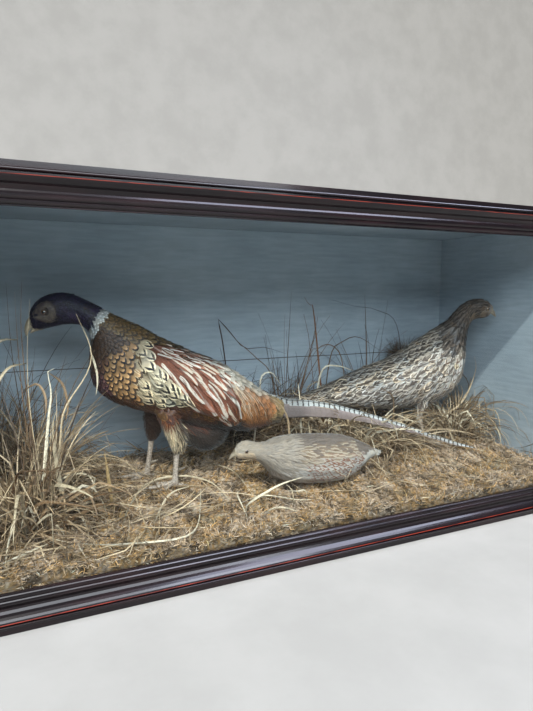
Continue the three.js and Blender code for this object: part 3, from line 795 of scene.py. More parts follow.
# ---- the cock -----------------------------------------------------------------------------
# The way the feathers point at places over the body: [x, y, z, forward, up]
COCK_LIE = [
    (188, 0, 384, -0.7, 0.7), (170, 0, 396, -1, 0.15), (140, 0, 399, -1, -0.1),
    (165, 16, 355, -0.9, -0.35), (170, 0, 342, -1, 0), (140, 0, 347, -1, -0.1),
    (124, 17, 372, -0.86, -0.5), (118, 0, 392, -0.9, -0.45), (95, 20, 355, -0.7, -0.7),
    (112, 0, 330, -0.2, -1), (110, 0, 290, -0.1, -1), (104, 0, 250, -0.35, -0.94),
    (84, 0, 226, -0.8, -0.6), (48, 0, 207, -0.95, -0.3), (8, 0, 194, -0.98, -0.2),
    (-60, 0, 175, -1, -0.25), (60, 8, 358, -0.86, -0.5), (18, 12, 338, -0.9, -0.45),
    (-40, 10, 310, -0.93, -0.38), (-100, 8, 282, -0.9, -0.45), (84, 28, 315, -0.4, -0.92),
    (80, 35, 280, -0.45, -0.9), (50, 42, 300, -0.62, -0.78), (36, 46, 262, -0.76, -0.65),
    (10, 50, 240, -0.8, -0.6), (-20, 46, 215, -0.95, -0.3), (-12, 52, 278, -0.5, -0.87),
    (-50, 55, 250, -0.45, -0.89), (-100, 54, 215, -0.45, -0.89), (-45, 35, 300, -0.8, -0.6),
    (-90, 40, 262, -0.6, -0.8), (-130, 12, 262, -0.84, -0.54), (-140, 36, 232, -0.6, -0.8),
    (-150, 38, 195, -0.35, -0.94), (-185, 28, 200, -0.9, -0.42), (-215, 16, 188, -0.97, -0.22),
    (-150, 0, 158, -1, -0.1), (-75, 26, 150, -0.65, -0.76), (-110, 18, 150, -0.85, -0.5),
    (-14, 40, 170, -0.2, -0.98), (-22, 30, 140, -0.05, -1), (14, 42, 160, -0.1, -1),
]
# The middle of the body from the tail's root to the bill, as [forward, up]
COCK_AXIS = [[-235, 187], [-150, 210], [-60, 245], [20, 280], [70, 320], [100, 355], [140, 373],
             [200, 352]]
# Outlines in the side view, as [forward, up]: the bare skin of the face, and the regions that
# each kind of feather takes
COCK_FACE = [
    [190, 367], [184, 380], [167, 387], [157, 378], [154, 365], [159, 352], [172, 351], [188, 357],
]
COCK_REGIONS = {
    "mantle": [[116, 380], [104, 356], [85, 345], [59, 333], [29, 326], [-10, 318], [-46, 306],
               [-80, 293], [-80, 310], [0, 345], [90, 395]],
    "collar_dark": [[116, 358], [100, 354], [62, 336], [56, 326], [72, 312], [100, 303],
                    [120, 312]],
    "plum": [[118, 314], [98, 308], [86, 300], [86, 278], [118, 272]],
    "violet": [[118, 292], [99, 284], [92, 268], [80, 243], [88, 230], [118, 250]],
    "maroon": [[118, 250], [92, 248], [72, 238], [44, 226], [4, 216], [-30, 212], [-80, 190],
               [-60, 165], [40, 190], [118, 212]],
    "cream": [[46, 332], [17, 326], [22, 305], [12, 290], [-7, 269], [-30, 247], [-30, 231],
              [-7, 222], [16, 227], [39, 235], [50, 250], [44, 275], [38, 300]],
    "belly": [[60, 226], [47, 222], [16, 216], [-24, 212], [-62, 216], [-100, 196], [-90, 180],
              [-60, 192], [-20, 200], [30, 206], [64, 216]],
    "wing": [[17, 322], [-10, 319], [-43, 306], [-77, 288], [-101, 258], [-112, 235], [-124, 204],
             [-128, 180], [-112, 184], [-87, 200], [-57, 209], [-33, 225], [-27, 244], [-7, 269],
             [12, 290], [21, 305]],
    "rump": [[-70, 310], [-77, 288], [-100, 262], [-112, 240], [-135, 246], [-162, 228],
             [-185, 222], [-190, 240], [-140, 275]],
    "fringe": [[-112, 250], [-145, 248], [-176, 226], [-186, 200], [-180, 165], [-130, 160],
               [-118, 190]],
    "tail_covert": [[-176, 240], [-184, 210], [-184, 150], [-250, 150], [-250, 240]],
    "vent": [[-24, 190], [-40, 198], [-90, 186], [-128, 180], [-150, 150], [-60, 110], [-24, 140]],
    "thigh_top": [[40, 200], [-30, 200], [-30, 186], [-10, 176], [40, 181]],
    "thigh": [[40, 184], [-12, 180], [-34, 188], [-60, 110], [40, 110]],
}
WHITE = (0.72, 0.69, 0.64)
BLACK = (0.008, 0.008, 0.012)
# Each kind: tone, marking colour, and how much crescent, streak, chevron and bar it carries.
COCK_KINDS = {
    "head": ((0.006, 0.009, 0.02), (0.014, 0.02, 0.055), (0.5, 0, 0, 0)),
    "ring": ((0.56, 0.58, 0.58), (0.3, 0.3, 0.32), (0.1, 0, 0, 0)),
    "mantle": ((0.245, 0.15, 0.055), BLACK, (0.95, 0.5, 0, 0)),
    "collar_dark": ((0.068, 0.03, 0.018), BLACK, (0.9, 0.3, 0, 0)),
    "plum": ((0.135, 0.055, 0.04), BLACK, (0.95, 0, 0, 0)),
    "violet": ((0.16, 0.065, 0.085), (0.02, 0.01, 0.02), (0.9, 0, 0, 0)),
    "copper": ((0.57, 0.32, 0.14), BLACK, (1, 0, 0, 0)),
    "maroon": ((0.085, 0.026, 0.015), BLACK, (0.4, 0, 0.7, 0)),
    "cream": ((0.76, 0.635, 0.44), BLACK, (0, 0, 1, 0)),
    "belly": ((0.2, 0.095, 0.028), (0.02, 0.01, 0.01), (0, 0, 0.7, 0)),
    "wing": ((0.22, 0.07, 0.036), WHITE, (0, 1, 0, 0)),
    "rump": ((0.63, 0.57, 0.48), (0.06, 0.045, 0.05), (0.5, 0.3, 0.5, 0)),
    "fringe": ((0.31, 0.13, 0.052), (0.3, 0.14, 0.06), (0, 0, 0, 0)),
    "tail_covert": ((0.3, 0.21, 0.1), (0.2, 0.12, 0.05), (0, 0.4, 0, 0)),
    "vent": ((0.047, 0.034, 0.028), (0.09, 0.07, 0.07), (0, 0, 0, 0)),
    "thigh_top": ((0.3, 0.11, 0.045), (0.09, 0.02, 0.025), (0, 0.5, 0, 0)),
    "thigh": ((0.64, 0.51, 0.34), (0.4, 0.3, 0.2), (0, 0.2, 0, 0)),
}
# The far thigh's one dark tone: painted shade on the side turned from the light
FAR_THIGH_SHADE = (0.072, 0.036, 0.024)
# Painted sheen highlight: a lighter violet mixed into the dark head feathers along the cheek
CHEEK_HIGHLIGHT_TONE = (0.06, 0.04, 0.075)
VIOLET_SHEEN = (0.05, 0.03, 0.085)
# Where that painted highlight lies in the side view, as [forward, up]
CHEEK_HIGHLIGHT_OUTLINE = [[153, 380], [150, 374], [128, 352], [126, 360]]
EYE = {"place": (172, 11.2, 368.5), "radius": 5.6, "opening": 5.3}
LORE = (181.5, 364.5)  # the hollow between the eye and the bill
RING = (84, 371.5)  # the middle of the white ring's top edge
NECK_WAY = (0.868, 0.496)  # the way the neck rises from there
NECK_FOOT = 328  # the height above which a coat part belongs to the neck or the head
FLUFF_TOP = 186  # the height below which the coat is loose fluff


def neck_run(points):
    """How far up the neck a point is from the middle of the white ring."""
    return (points[:, 0] - RING[0]) * NECK_WAY[0] + (points[:, 2] - RING[1]) * NECK_WAY[1]


def cock_markings(points, rng):
    """The cock's tone, mark and motif at each point."""
    plumes = Plumes(COCK_KINDS)
    weights = np.zeros((len(points), len(plumes.names)))
    column = {name: index for index, name in enumerate(plumes.names)}
    for name, outline in COCK_REGIONS.items():
        weights[:, column[name]] = within(outline, points)
    run = neck_run(points)
    high = smooth(NECK_FOOT, NECK_FOOT + 8, points[:, 2])
    weights[:, column["copper"]] = 0.35 * smooth(20, 30, points[:, 0])
    for name in ("wing", "fringe", "cream"):
        weights[:, column[name]] *= smooth(4, 16, np.abs(points[:, 1]))
    weights[:, column["maroon"]] += 0.8 * smooth(16, 2, np.abs(points[:, 1])) * smooth(
        225, 205, points[:, 2])
    weights[:, column["ring"]] = 4 * smooth(6.0, 4.6, np.abs(run - 2.0)) * high
    weights[:, column["head"]] = 6 * smooth(6.0, 7.4, run) * high
    tones, marks, motifs = plumes.pick(weights + 1e-4, rng)
    head = run > 8
    # painted sheen highlight along the cheek, mixed into the head's tones
    tones = mixed(tones, np.array(CHEEK_HIGHLIGHT_TONE), 0.7 * within(CHEEK_HIGHLIGHT_OUTLINE, points, 3) * head)
    if rng is not None:
        violet = rng.uniform(0, 1, len(points)) ** 2
        tones[head] = mixed(tones[head], np.array(VIOLET_SHEEN), 0.5 * violet[head])
    # painted shade: the far thigh is darkened
    far = (points[:, 1] < 0) & (points[:, 2] < 200) & (points[:, 0] > -40)
    tones[far] = FAR_THIGH_SHADE
    return tones, marks, motifs


def unmarked(tones, share=0.6):
    """The paints of vanes with no marking. Their marks are a share of their tones."""
    return tones, tones * share, np.zeros((len(tones), 4))


def plain(markings, spread=0.18):
    """The same colours without the markings, for fine strands over the vanes."""
    def without(points, rng):
        tones, marks, motifs = markings(points, rng)
        tones = np.clip(tones * rng.normal(1, spread, (len(points), 1)), 0.003, 0.95)
        return tones, marks, motifs * 0
    return without


def eye_gap(points):
    """How far a point is from the middle of the eye, seen from the side."""
    return np.hypot(points[:, 0] - EYE["place"][0], (points[:, 2] - EYE["place"][2]) * 1.08)


def cock_depth(points):
    """How thick the coat is over each part of the skin."""
    side, height = np.abs(points[:, 1]), points[:, 2]
    depth = 4.6 - 2.8 * smooth(-10, 30, neck_run(points)) * smooth(320, 335, height)
    depth = np.where(height < FLUFF_TOP - 1, 3.0, depth)
    face = within(COCK_FACE, points, 1.5) * smooth(4, 7, side)
    depth = depth * (1 - 0.93 * face)
    hollow = np.hypot(points[:, 0] - LORE[0], points[:, 2] - LORE[1])
    depth = depth + 1.3 * smooth(6.5, 1.5, hollow) * smooth(5, 9, side)
    crease = np.abs(eye_gap(points) - 9.2)
    depth = depth + 0.5 * smooth(1.6, 0.3, crease) * smooth(7, 10, side)
    socket = smooth(EYE["opening"] + 0.7, EYE["opening"] - 0.7, eye_gap(points))
    return depth + 6.5 * socket * smooth(7, 10, side)


def cock_pitch(points):
    """The gap between feathers: small on the face, large on the back and flanks."""
    run, height = neck_run(points), points[:, 2]
    pitch = 8.2 - 3.4 * smooth(-90, -10, run) * smooth(300, 330, height)
    pitch = pitch - 2.3 * smooth(8, 40, run) * smooth(330, 342, height)
    pitch = np.where((np.abs(run) < 9) & (height > NECK_FOOT + 2), 3.3, pitch)
    fore = smooth(30, 95, points[:, 0]) * smooth(345, 320, height)
    flank = within(COCK_REGIONS["cream"], points, 6)
    return np.where(height < FLUFF_TOP, 5.2, pitch - 2.2 * fore + 3.2 * flank)


ELSEWHERE = 40.0  # the gap between the roots that are thrown away
COCK_FLESH = [
    "cock_head", "cock_wattle_left", "cock_wattle_right", "cock_neck", "cock_trunk",
    "cock_wing_left", "cock_wing_right", "cock_leg_left", "cock_leg_right",
]


def roots_where(surface, chosen, pitch, rng):
    """Even roots at a pitch where chosen is true, and a few far apart elsewhere."""
    return surface.roots(lambda points: np.where(chosen(points), pitch, ELSEWHERE), rng)


def side_roots(skin, outline, pitch, rng, inner=12.0):
    """Even roots inside an outline, on both sides of the bird, away from its middle."""
    roots = roots_where(skin.outer, lambda p: within(outline, p, 1) > 0.4, pitch, rng)
    return roots[(within(outline, roots, 1) > 0.5) & (np.abs(roots[:, 1]) > inner)]


def run_of(line):
    """How far along a line each of its points is."""
    step = np.linalg.norm(np.diff(line, axis=0), axis=1)
    return np.concatenate([[0], np.cumsum(step)])


def fan(bird, strips, crest, feathers, rng, stations=26, bars=4.6):
    """Tail vanes that lie over each other like a roof. crest is the middle line of the tail's
    top as [forward, up], and bars is how often the bars repeat along it."""
    crest = np.array(crest, float)
    run = run_of(crest)
    for share, out, down, roll, width, tone, bar in feathers:
        for side in (-1, 1):
            at = np.linspace(0, share * run[-1], stations)
            x = np.interp(at, run, crest[:, 0])
            z = np.interp(at, run, crest[:, 1])
            taper = 1 - 0.9 * np.linspace(0, share, stations)
            line = np.stack([x, side * out * taper, z - down * taper], 1)
            tilt = math.radians(roll) * side
            ahead = unit(np.gradient(line, axis=0))
            level = np.array([0, math.sin(tilt), math.cos(tilt)])
            normal = unit(level[None] - (ahead @ level)[:, None] * ahead)
            progress = np.linspace(0, 1, stations)
            half = width / 2 * (1 - 0.72 * progress ** 1.2) * smooth(1.03, 0.9, progress)
            half = np.maximum(half, 0.3) * rng.uniform(0.97, 1.03, stations)
            paints = np.array([tone]), np.array([TAIL_BLACK]), np.array([[0, 0.12, 0, bar]])
            strips.add(line[None], normal[None], half[None], 0.0, 0.12, 0.35, paints,
                       bird.unwrap(line[:1]), bars * share)


def square_to(out):
    """A unit vector along out, and the two that are square to it: to the side and up."""
    out = unit(np.array(out, float))
    side = unit(np.cross(out, [0, 0, 1.0]))
    return out, side, np.cross(side, out)


PUPIL = (27, 31)  # the pupil's soft edge, in degrees from the middle of the eye
IRIS_EDGE = (62, 55)  # the soft outer edge of the iris
EYE_BLACK = (0.003, 0.003, 0.003)


def globe(name, bird, centre, radius, out, iris, stands_for=()):
    """A glass eye: a sphere with a dark pupil and a lit iris that face out."""
    rings, sides, hole = 18, 28, 0.06
    out, side, up = square_to(out)
    sections = []
    for angle in np.linspace(hole, math.pi - hole, rings):
        ring = radius * math.sin(angle)
        sections.append((centre + out * radius * math.cos(angle), side * ring, up * ring))
    points, quads, caps = lofted(sections, sides)
    mesh = outward(mesh_of(name, bird.world(points), quads, caps))
    lean = np.degrees(np.arccos(np.clip(unit(points - centre) @ out, -1, 1)))
    lit = smooth(*PUPIL, lean) * smooth(*IRIS_EDGE, lean)
    paint(mesh, "tone", mixed(np.tile(EYE_BLACK, (len(points), 1)), np.array(iris), lit))
    show(name, mesh, EYE_GLASS, stands_for)


def eye_glass():
    finish = Finish("eye_glass", {
        "Roughness": 0.08, "Coat Weight": 1.0, "Coat Roughness": 0.02, "Specular IOR Level": 0.6})
    fibres = finish.noise(finish.place(), 2500.0, 2.0)
    finish.colour(shaded(finish, finish.painted("tone"), fibres, 0.6, 1.3))
    return finish.material


def lid(name, bird, centre, radius, out, material, thick=0.8):
    """The wrinkled rim of skin round an eye."""
    out, side, up = square_to(out)
    around, sides = 36, 8
    sections = []
    for step in range(around + 1):
        angle = 2 * math.pi * step / around
        spoke = side * math.cos(angle) + up * math.sin(angle)
        crease = thick * (1 + 0.14 * math.sin(9 * angle))
        almond = 1 - 0.1 * math.sin(angle) ** 2
        sections.append((centre + spoke * radius * almond, spoke * crease, out * crease * 0.9))
    points, quads, _ = lofted(sections, sides)
    ring = around * sides
    quads = np.where(quads >= ring, quads - ring, quads)[:ring]
    mesh = outward(mesh_of(name, bird.world(points[:ring]), quads, []))
    show(name, mesh, material)


# A pimple's rings of six points, as (rise, width), in shares of its size
DOME = [(-0.4, 1.0), (0.35, 0.86), (0.75, 0.45)]
DOME_TOP = ([12, 13, 14, 15], [12, 15, 16, 17])
DOME_FOOT = ([3, 2, 1, 0], [5, 4, 3, 0])


def pimples(name, bird, surface, roots, radius, rng, material):
    """Small domes of skin, one at each root."""
    spots, normals = surface.nearest(roots)
    side = unit(np.cross(normals, np.array([0.3, 0.1, 1.0])))
    up = np.cross(side, normals)
    size = radius * rng.uniform(0.6, 1.25, (len(roots), 1))
    rings = []
    for level, (rise, wide) in enumerate(DOME):
        for step in range(6):
            angle = math.pi / 3 * (step + 0.5 * level)
            spoke = side * math.cos(angle) + up * math.sin(angle)
            rings.append(spots + size * (wide * spoke + rise * normals))
    points = np.stack(rings, 1)
    first = np.arange(len(roots))[:, None] * len(rings)
    quads = np.concatenate([ring_quads(len(roots), len(DOME), 6),
                            *(first + corners for corners in DOME_TOP + DOME_FOOT)])
    mesh = outward(mesh_of(name, bird.world(points.reshape(-1, 3)), quads, []))
    show(name, mesh, material)


def curve_through(points, count):
    """Evenly spaced places on a smooth curve through the given ones."""
    points = np.asarray(points, float)
    ends = np.concatenate([2 * points[:1] - points[1:2], points, 2 * points[-1:] - points[-2:-1]])
    fine = []
    for index in range(len(points) - 1):
        a, b, c, d = ends[index:index + 4]
        t = np.linspace(0, 1, 12, endpoint=False)[:, None]
        fine.append(0.5 * (2 * b + (c - a) * t + (2 * a - 5 * b + 4 * c - d) * t ** 2
                           + (3 * b - a - 3 * c + d) * t ** 3))
    fine = np.concatenate([*fine, points[-1:]])
    run = run_of(fine)
    at = np.linspace(0, run[-1], count)
    return np.stack([np.interp(at, run, fine[:, axis]) for axis in range(3)], 1)


def mandible(name, bird, line, highs, wides, node, ridge, count=16):
    """A horn sheath along a line in the middle plane, with a ridged back."""
    path = curve_through(line, count)
    ahead = unit(np.gradient(path, axis=0))
    share = np.linspace(0, 1, count)
    highs = np.interp(share, np.linspace(0, 1, len(highs)), highs)
    wides = np.interp(share, np.linspace(0, 1, len(wides)), wides)
    left = np.array([0, 1.0, 0])
    sections = [(spot, left * wide, np.cross(way, left) * high)
                for spot, way, high, wide in zip(path, ahead, highs, wides)]
    points, quads, caps = lofted(sections, 20, ridge)
    mesh = outward(mesh_of(name, bird.world(points), quads, caps))
    show(name, mesh, HORN, [node])


SCUTE = 3.4  # the height of one scute


def scaled_leg(name, bird, node, foot):
    """A bare leg and its toes, with scutes raised round them. foot is where the toes meet."""
    points, triangles = voxel_shell([node], 0.75, 0.1)
    points = relaxed(bird.local(points), triangles, 5)
    surface = Surface(points, triangles)
    away = np.linalg.norm(points[:, :2] - np.array(foot[:2]), axis=1)
    upright = points[:, 2] > foot[2] + 14
    run = np.where(upright, points[:, 2], away)
    front = smooth(-2, 3, points[:, 0] - foot[0])
    scute = np.abs(np.sin(math.pi * run / SCUTE)) ** 0.5 - 0.7
    around = np.arctan2(points[:, 1] - foot[1], points[:, 0] - foot[0])
    net = 0.25 * np.sin(points[:, 2] * 2.1) * np.sin(around * 5)
    ridge = np.where(upright, net + (scute - net) * front, scute)
    points = points + surface.normals * 0.3 * ridge[:, None]
    show(name, mesh_of(name, bird.world(points), [], triangles), SCALY, [node])


EYE_GLASS = eye_glass()
HORN = tinted("horn", (0.34, 0.28, 0.2), (0.19, 0.15, 0.11), 160.0, 0.38, bump=0.25,
              values={"Coat Weight": 0.15}, stretch=(1, 1, 0.3))
CLAW = tinted("claw", (0.12, 0.1, 0.08), (0.28, 0.23, 0.18), 260.0, 0.35, bump=0.2)
SCALY = tinted("scaly_leg", (0.43, 0.36, 0.3), (0.16, 0.12, 0.095), 420.0, 0.5, bump=0.7)
WATTLE_SKIN = tinted("wattle", (0.024, 0.014, 0.02), (0.092, 0.07, 0.052), 160.0, 0.5, bump=0.6)

# Outlines in the side view, as [forward, up]: the small coverts along the top of the wing and
# the larger ones below them
WING_UPPER = [[17, 326], [-10, 322], [-43, 309], [-77, 290], [-90, 276], [-60, 280], [-20, 298],
              [10, 306]]
WING_COVERTS = [[17, 322], [-10, 319], [-43, 306], [-77, 288], [-96, 262], [-70, 245], [-40, 262],
                [-14, 280], [6, 292]]
# The middle line of the tail's top
COCK_CREST = [[-196, 214], [-227, 203], [-265, 199], [-318, 189], [-374, 172.5], [-411, 160.5],
              [-470, 140.5], [-531, 117.5], [-590, 95.7], [-642, 79.8]]
MAUVE = (0.225, 0.175, 0.165)
PALE_MAUVE = (0.33, 0.285, 0.275)
ICE_GREY = (0.42, 0.43, 0.43)
TAIL_BLACK = (0.02, 0.016, 0.016)
# Each pair of tail feathers: share of the tail's length, how far out and down from its crest,
# roll in degrees, width, tone and how strongly it is barred
COCK_TAIL = [
    (1.0, 3.0, 1.6, 50, 15, ICE_GREY, 0.95),
    (0.98, 6.0, 7.2, 57, 20, PALE_MAUVE, 0.8),
    (0.86, 8.0, 12.4, 60, 20, MAUVE, 0.45),
    (0.7, 11.4, 14.6, 63, 20, MAUVE, 0.3),
    # The lowest, shortest pairs darken step by step: painted shade beneath the pairs above them
    (0.54, 14.5, 16.2, 67, 19, (0.19, 0.145, 0.135), 0.2),
    (0.42, 16.0, 19.4, 71, 18, (0.16, 0.12, 0.11), 0.15),
    (0.32, 14.0, 23.5, 76, 16, (0.14, 0.105, 0.09), 0.1),
]
FEET = {"left": (-21, 39, 76), "right": (20, -37, 71)}  # where the toes meet
# The pointed tufts behind the cock's eyes, which lean back and up
EAR_TUFT = {"root": (138, 8.5, 394.0), "length": 8, "count": 20, "width": 1.6}
EAR_SPREAD = (2.4, 1.4, 1.0)  # how far its roots wander
EAR_CUT = ([0, 0.25, 0.5, 0.75, 1.0], [0.9, 1, 0.8, 0.5, 0.1])  # stations and widths
EAR_BLACK = (0.012, 0.016, 0.03)
# Each mandible: its line, its half heights, its half widths and how sharp its ridge is
BILL = {
    "upper": ([[179, 0, 360], [188.5, 0, 356], [195.5, 0, 349], [200, 0, 340],
               [201.3, 0, 330.5]], [9.0, 8.2, 6.6, 3.8, 0.7], [6.8, 6.2, 4.6, 2.5, 0.6], 1.5),
    "lower": ([[178, 0, 346], [188, 0, 342], [195, 0, 335.5]], [6.0, 4.6, 1.2],
              [5.8, 4.4, 1.2], 2.0),
}
# Where the long feathers beside the rump are rooted
HACKLE_ROOTS = [[-106, 264], [-145, 260], [-184, 230], [-192, 196], [-182, 182], [-150, 186],
                [-116, 200]]


def bare_face(points, soft):
    """How far each point is inside the bare skin of either cheek, from 0 to 1."""
    return within(COCK_FACE, points, soft) * (np.abs(points[:, 1]) > 5)


def build_cock():
    rng = np.random.default_rng(11)
    bird = Bird(-197, 32, 172.4, COCK_LIE, COCK_AXIS)
    skin = Skin(bird, COCK_FLESH, 2.0, cock_depth)
    skin.show("cock_skin", cock_markings, [downy("cock_down"), WATTLE_SKIN],
              lambda p: bare_face(p, 1) > 0.5, "body_feather", COCK_FLESH)
    cock_body_coat(bird, skin, rng)
    cock_fluff(bird, skin, rng)
    cock_veil(bird, skin, rng)
    cock_wings(bird, skin, rng)
    cock_hackles(bird, skin, rng)
    cock_eyes(bird)
    cock_face(bird, skin, rng)
    cock_ear_tufts(bird, rng)
    tail = Strips()
    fan(bird, tail, COCK_CREST, COCK_TAIL, rng)
    tail.show("cock_tail_feathers", bird.world, plumage("tail_plumage", 0.55, sheen=0.0, barb=1.2),
              "tail_feather", ["cock_tail"])
    for side, foot in FEET.items():
        scaled_leg(f"cock_tarsus_{side}", bird, f"cock_shank_{side}", foot)


def cock_body_coat(bird, skin, rng):
    """The vanes of the trunk and the neck, and the small ones of the head."""
    roots = skin.outer.roots(cock_pitch, rng)
    off_middle = np.abs(roots[:, 1])
    thinned = rng.uniform(0.25, 0.95, len(roots))
    bare = (within(COCK_FACE, roots, 2.5) > thinned) & (off_middle > 4)
    winged = (within(COCK_REGIONS["wing"], roots, 1) > 0.6) & (off_middle > 12)
    drumstick = (within(COCK_REGIONS["thigh_top"], roots, 2) > 0.5) & (off_middle > 16)
    roots = roots[~(bare | winged | drumstick) & (roots[:, 2] > FLUFF_TOP - 2)]
    pitch, run = cock_pitch(roots), neck_run(roots)
    head = (run > -4) & (roots[:, 2] > NECK_FOOT)
    body = Strips(soft=True)
    clothe(skin, body, roots[~head], cock_markings, pitch[~head] * 2.9, pitch[~head] * 1.65, rng,
           lift=0.15, camber=0.04, thick=0.12, stray=0.5)
    body.show("cock_body_feathers", bird.world,
              plumage("cock_plumage", 0.5, sheen=0.0, gloss=0.35, barb=0.8, root=0.5),
              "body_feather")
    small = Strips(soft=True)
    length = np.where(run > 7, np.minimum(pitch * 3.2, 1.1 * (run - 6) + 3), 9.0)
    clothe(skin, small, roots[head], cock_markings, length[head], pitch[head] * 1.4, rng,
           "small", lift=0.1, camber=0.04, thick=0.1)
    small.show("cock_head_feathers", bird.world,
               plumage("cock_head_plumage", 0.42, sheen=0.0, gloss=0.25, barb=0.7), "head_feather")


def cock_fluff(bird, skin, rng):
    """The loose fluff of the thighs and the vent."""
    strips = Strips(soft=True)
    low = roots_where(skin.outer, lambda p: p[:, 2] < FLUFF_TOP + 20, 3.3, rng)
    low = low[low[:, 2] < FLUFF_TOP + 18]
    vent = within(COCK_REGIONS["vent"], low, 2) > 0.5
    drumstick = within(COCK_REGIONS["thigh_top"], low, 2) > 0.5
    thigh = ~vent & ((low[:, 2] < FLUFF_TOP) | drumstick)
    clothe(skin, strips, low[thigh], plain(cock_markings, 0.22), 13.0, 1.9, rng, "hair",
           lift=0.7, stray=1.2)
    clothe(skin, strips, low[vent], plain(cock_markings), 26.0, 1.8, rng, "hair", lift=3.0,
           stray=6.0)
    strips.show("cock_thigh_feathers", bird.world,
                plumage("thigh_plumage", 0.75, sheen=0.3, gloss=0.2), "thigh_feather")


# Where fine strands lie over the vanes: the gap between them, their length and their width
VEIL = {"cream": (3.6, 15.0, 1.0), "belly": (3.8, 16.0, 1.2), "rump": (4.2, 13.0, 1.1),
        "tail_covert": (3.6, 20.0, 1.2), "maroon": (4.4, 11.0, 1.2)}


def cock_veil(bird, skin, rng):
    strips = Strips(soft=True)
    for region, (gap, length, width) in VEIL.items():
        roots = side_roots(skin, COCK_REGIONS[region], gap, rng, 3.0)
        roots = roots[(neck_run(roots) < -30) & (roots[:, 2] > FLUFF_TOP)]
        clothe(skin, strips, roots, plain(cock_markings, 0.3), length, width, rng, "hair",
               lift=0.5, thick=0.1, stray=2.2)
    strips.show("cock_veil", bird.world, plumage("veil_plumage", 0.6, sheen=0.2, barb=0.7),
                "body_feather")


def wing_markings(points, rng):
    """Chestnut with a shaft streak that varies from white to buff."""
    tones, marks, motifs = cock_markings(points, rng)
    buff = rng.random((len(points), 1)) ** 1.5
    marks = marks * (1 - 0.5 * buff * np.array([[0.6, 0.8, 1.0]]))
    motifs = motifs * np.where(rng.random((len(points), 1)) < 0.16, 0.25, 1)
    return tones * rng.uniform(0.8, 1.25, (len(points), 1)), marks, motifs


# The wing's layers, flight feathers first: pitch, length, width, lift and outline
WING_LAYERS = [
    (18.0, 66.0, 16.0, 0.3, COCK_REGIONS["wing"]),
    (13.0, 44.0, 12.5, 0.8, WING_COVERTS),
    (8.0, 22.0, 8.0, 1.2, WING_UPPER),
]


def cock_wings(bird, skin, rng):
    strips = Strips(soft=True)
    for pitch, length, width, lift, outline in WING_LAYERS:
        roots = side_roots(skin, outline, pitch, rng)
        clothe(skin, strips, roots, wing_markings, length,
               width * rng.uniform(0.75, 1.15, len(roots)), rng, "quill", lift, camber=0.05,
               thick=0.15, stray=3.0)
    roots = side_roots(skin, COCK_REGIONS["wing"], 4.6, rng)
    clothe(skin, strips, roots, plain(wing_markings, 0.3), 15.0, 0.9, rng, "hair", lift=0.9,
           stray=1.5)
    strips.show("cock_wing_feathers", bird.world,
                plumage("wing_plumage", 0.55, sheen=0.1, gloss=0.35), "wing_feather")


HACKLE_TONES = {"pale": (0.44, 0.33, 0.24), "orange": (0.37, 0.15, 0.045),
                "rufous": (0.19, 0.075, 0.028)}
HACKLE_FALL = np.array([[-0.34, 0.0, -0.94]])


def hackle_markings(points, rng):
    """Pale buff high up and nearest the wing, then orange, and rufous towards the tail."""
    count = len(points)
    rear = smooth(-112, -172, points[:, 0] + rng.normal(0, 8, count))
    low = smooth(250, 222, points[:, 2] + rng.normal(0, 7, count))
    pale, orange, rufous = (np.array(tone) for tone in HACKLE_TONES.values())
    tones = mixed(mixed(np.tile(pale, (count, 1)), orange, low), rufous, 0.8 * rear * low)
    tones = tones * rng.normal(1, 0.22, (count, 1))
    return np.clip(tones, 0.01, 0.9), tones * 0.4, np.zeros((count, 4))


def cock_hackles(bird, skin, rng):
    """The long hair-like feathers that hang down beside the rump."""
    strips = Strips(soft=True)
    roots = side_roots(skin, HACKLE_ROOTS, 2.5, rng, 8.0)
    clothe(skin, strips, roots, hackle_markings, rng.uniform(30, 58, len(roots)),
           rng.uniform(1.2, 2.2, len(roots)), rng, "hair", lift=2.2, stray=4.5,
           heading=lambda p: np.repeat(HACKLE_FALL, len(p), 0))
    strips.show("cock_rump_hackles", bird.world,
                plumage("hackle_plumage", 0.55, sheen=0.3, barb=0.8), "body_feather")


def cock_eyes(bird):
    for side, name in ((1, "left"), (-1, "right")):
        centre = np.array(EYE["place"]) * [1, side, 1]
        out = [0.1, side, 0.06]
        globe(f"cock_glass_eye_{name}", bird, centre, EYE["radius"], out, (0.15, 0.065, 0.02),
              [f"cock_eye_{name}"])
        lid(f"cock_eyelid_{name}", bird, centre + np.array([0.5, side * 4.6, 0.2]), 4.75, out,
            WATTLE_SKIN, 1.0)


def cock_face(bird, skin, rng):
    """The pimply bare skin of the cheeks, and the bill."""
    inner = Surface(skin.inner, skin.outer.triangles)
    roots = roots_where(inner, lambda p: within(COCK_FACE, p, 2) > 0.3, 1.5, rng)
    roots = roots[(bare_face(roots, 1) > 0.5) & (eye_gap(roots) > 6.0)]
    pimples("cock_face_skin", bird, inner, roots, 0.75, rng, WATTLE_SKIN)
    for part, name in (("upper", "cock_bill_top"), ("lower", "cock_bill_under")):
        mandible(name, bird, *BILL[part][:3], f"cock_bill_{part}", BILL[part][3])


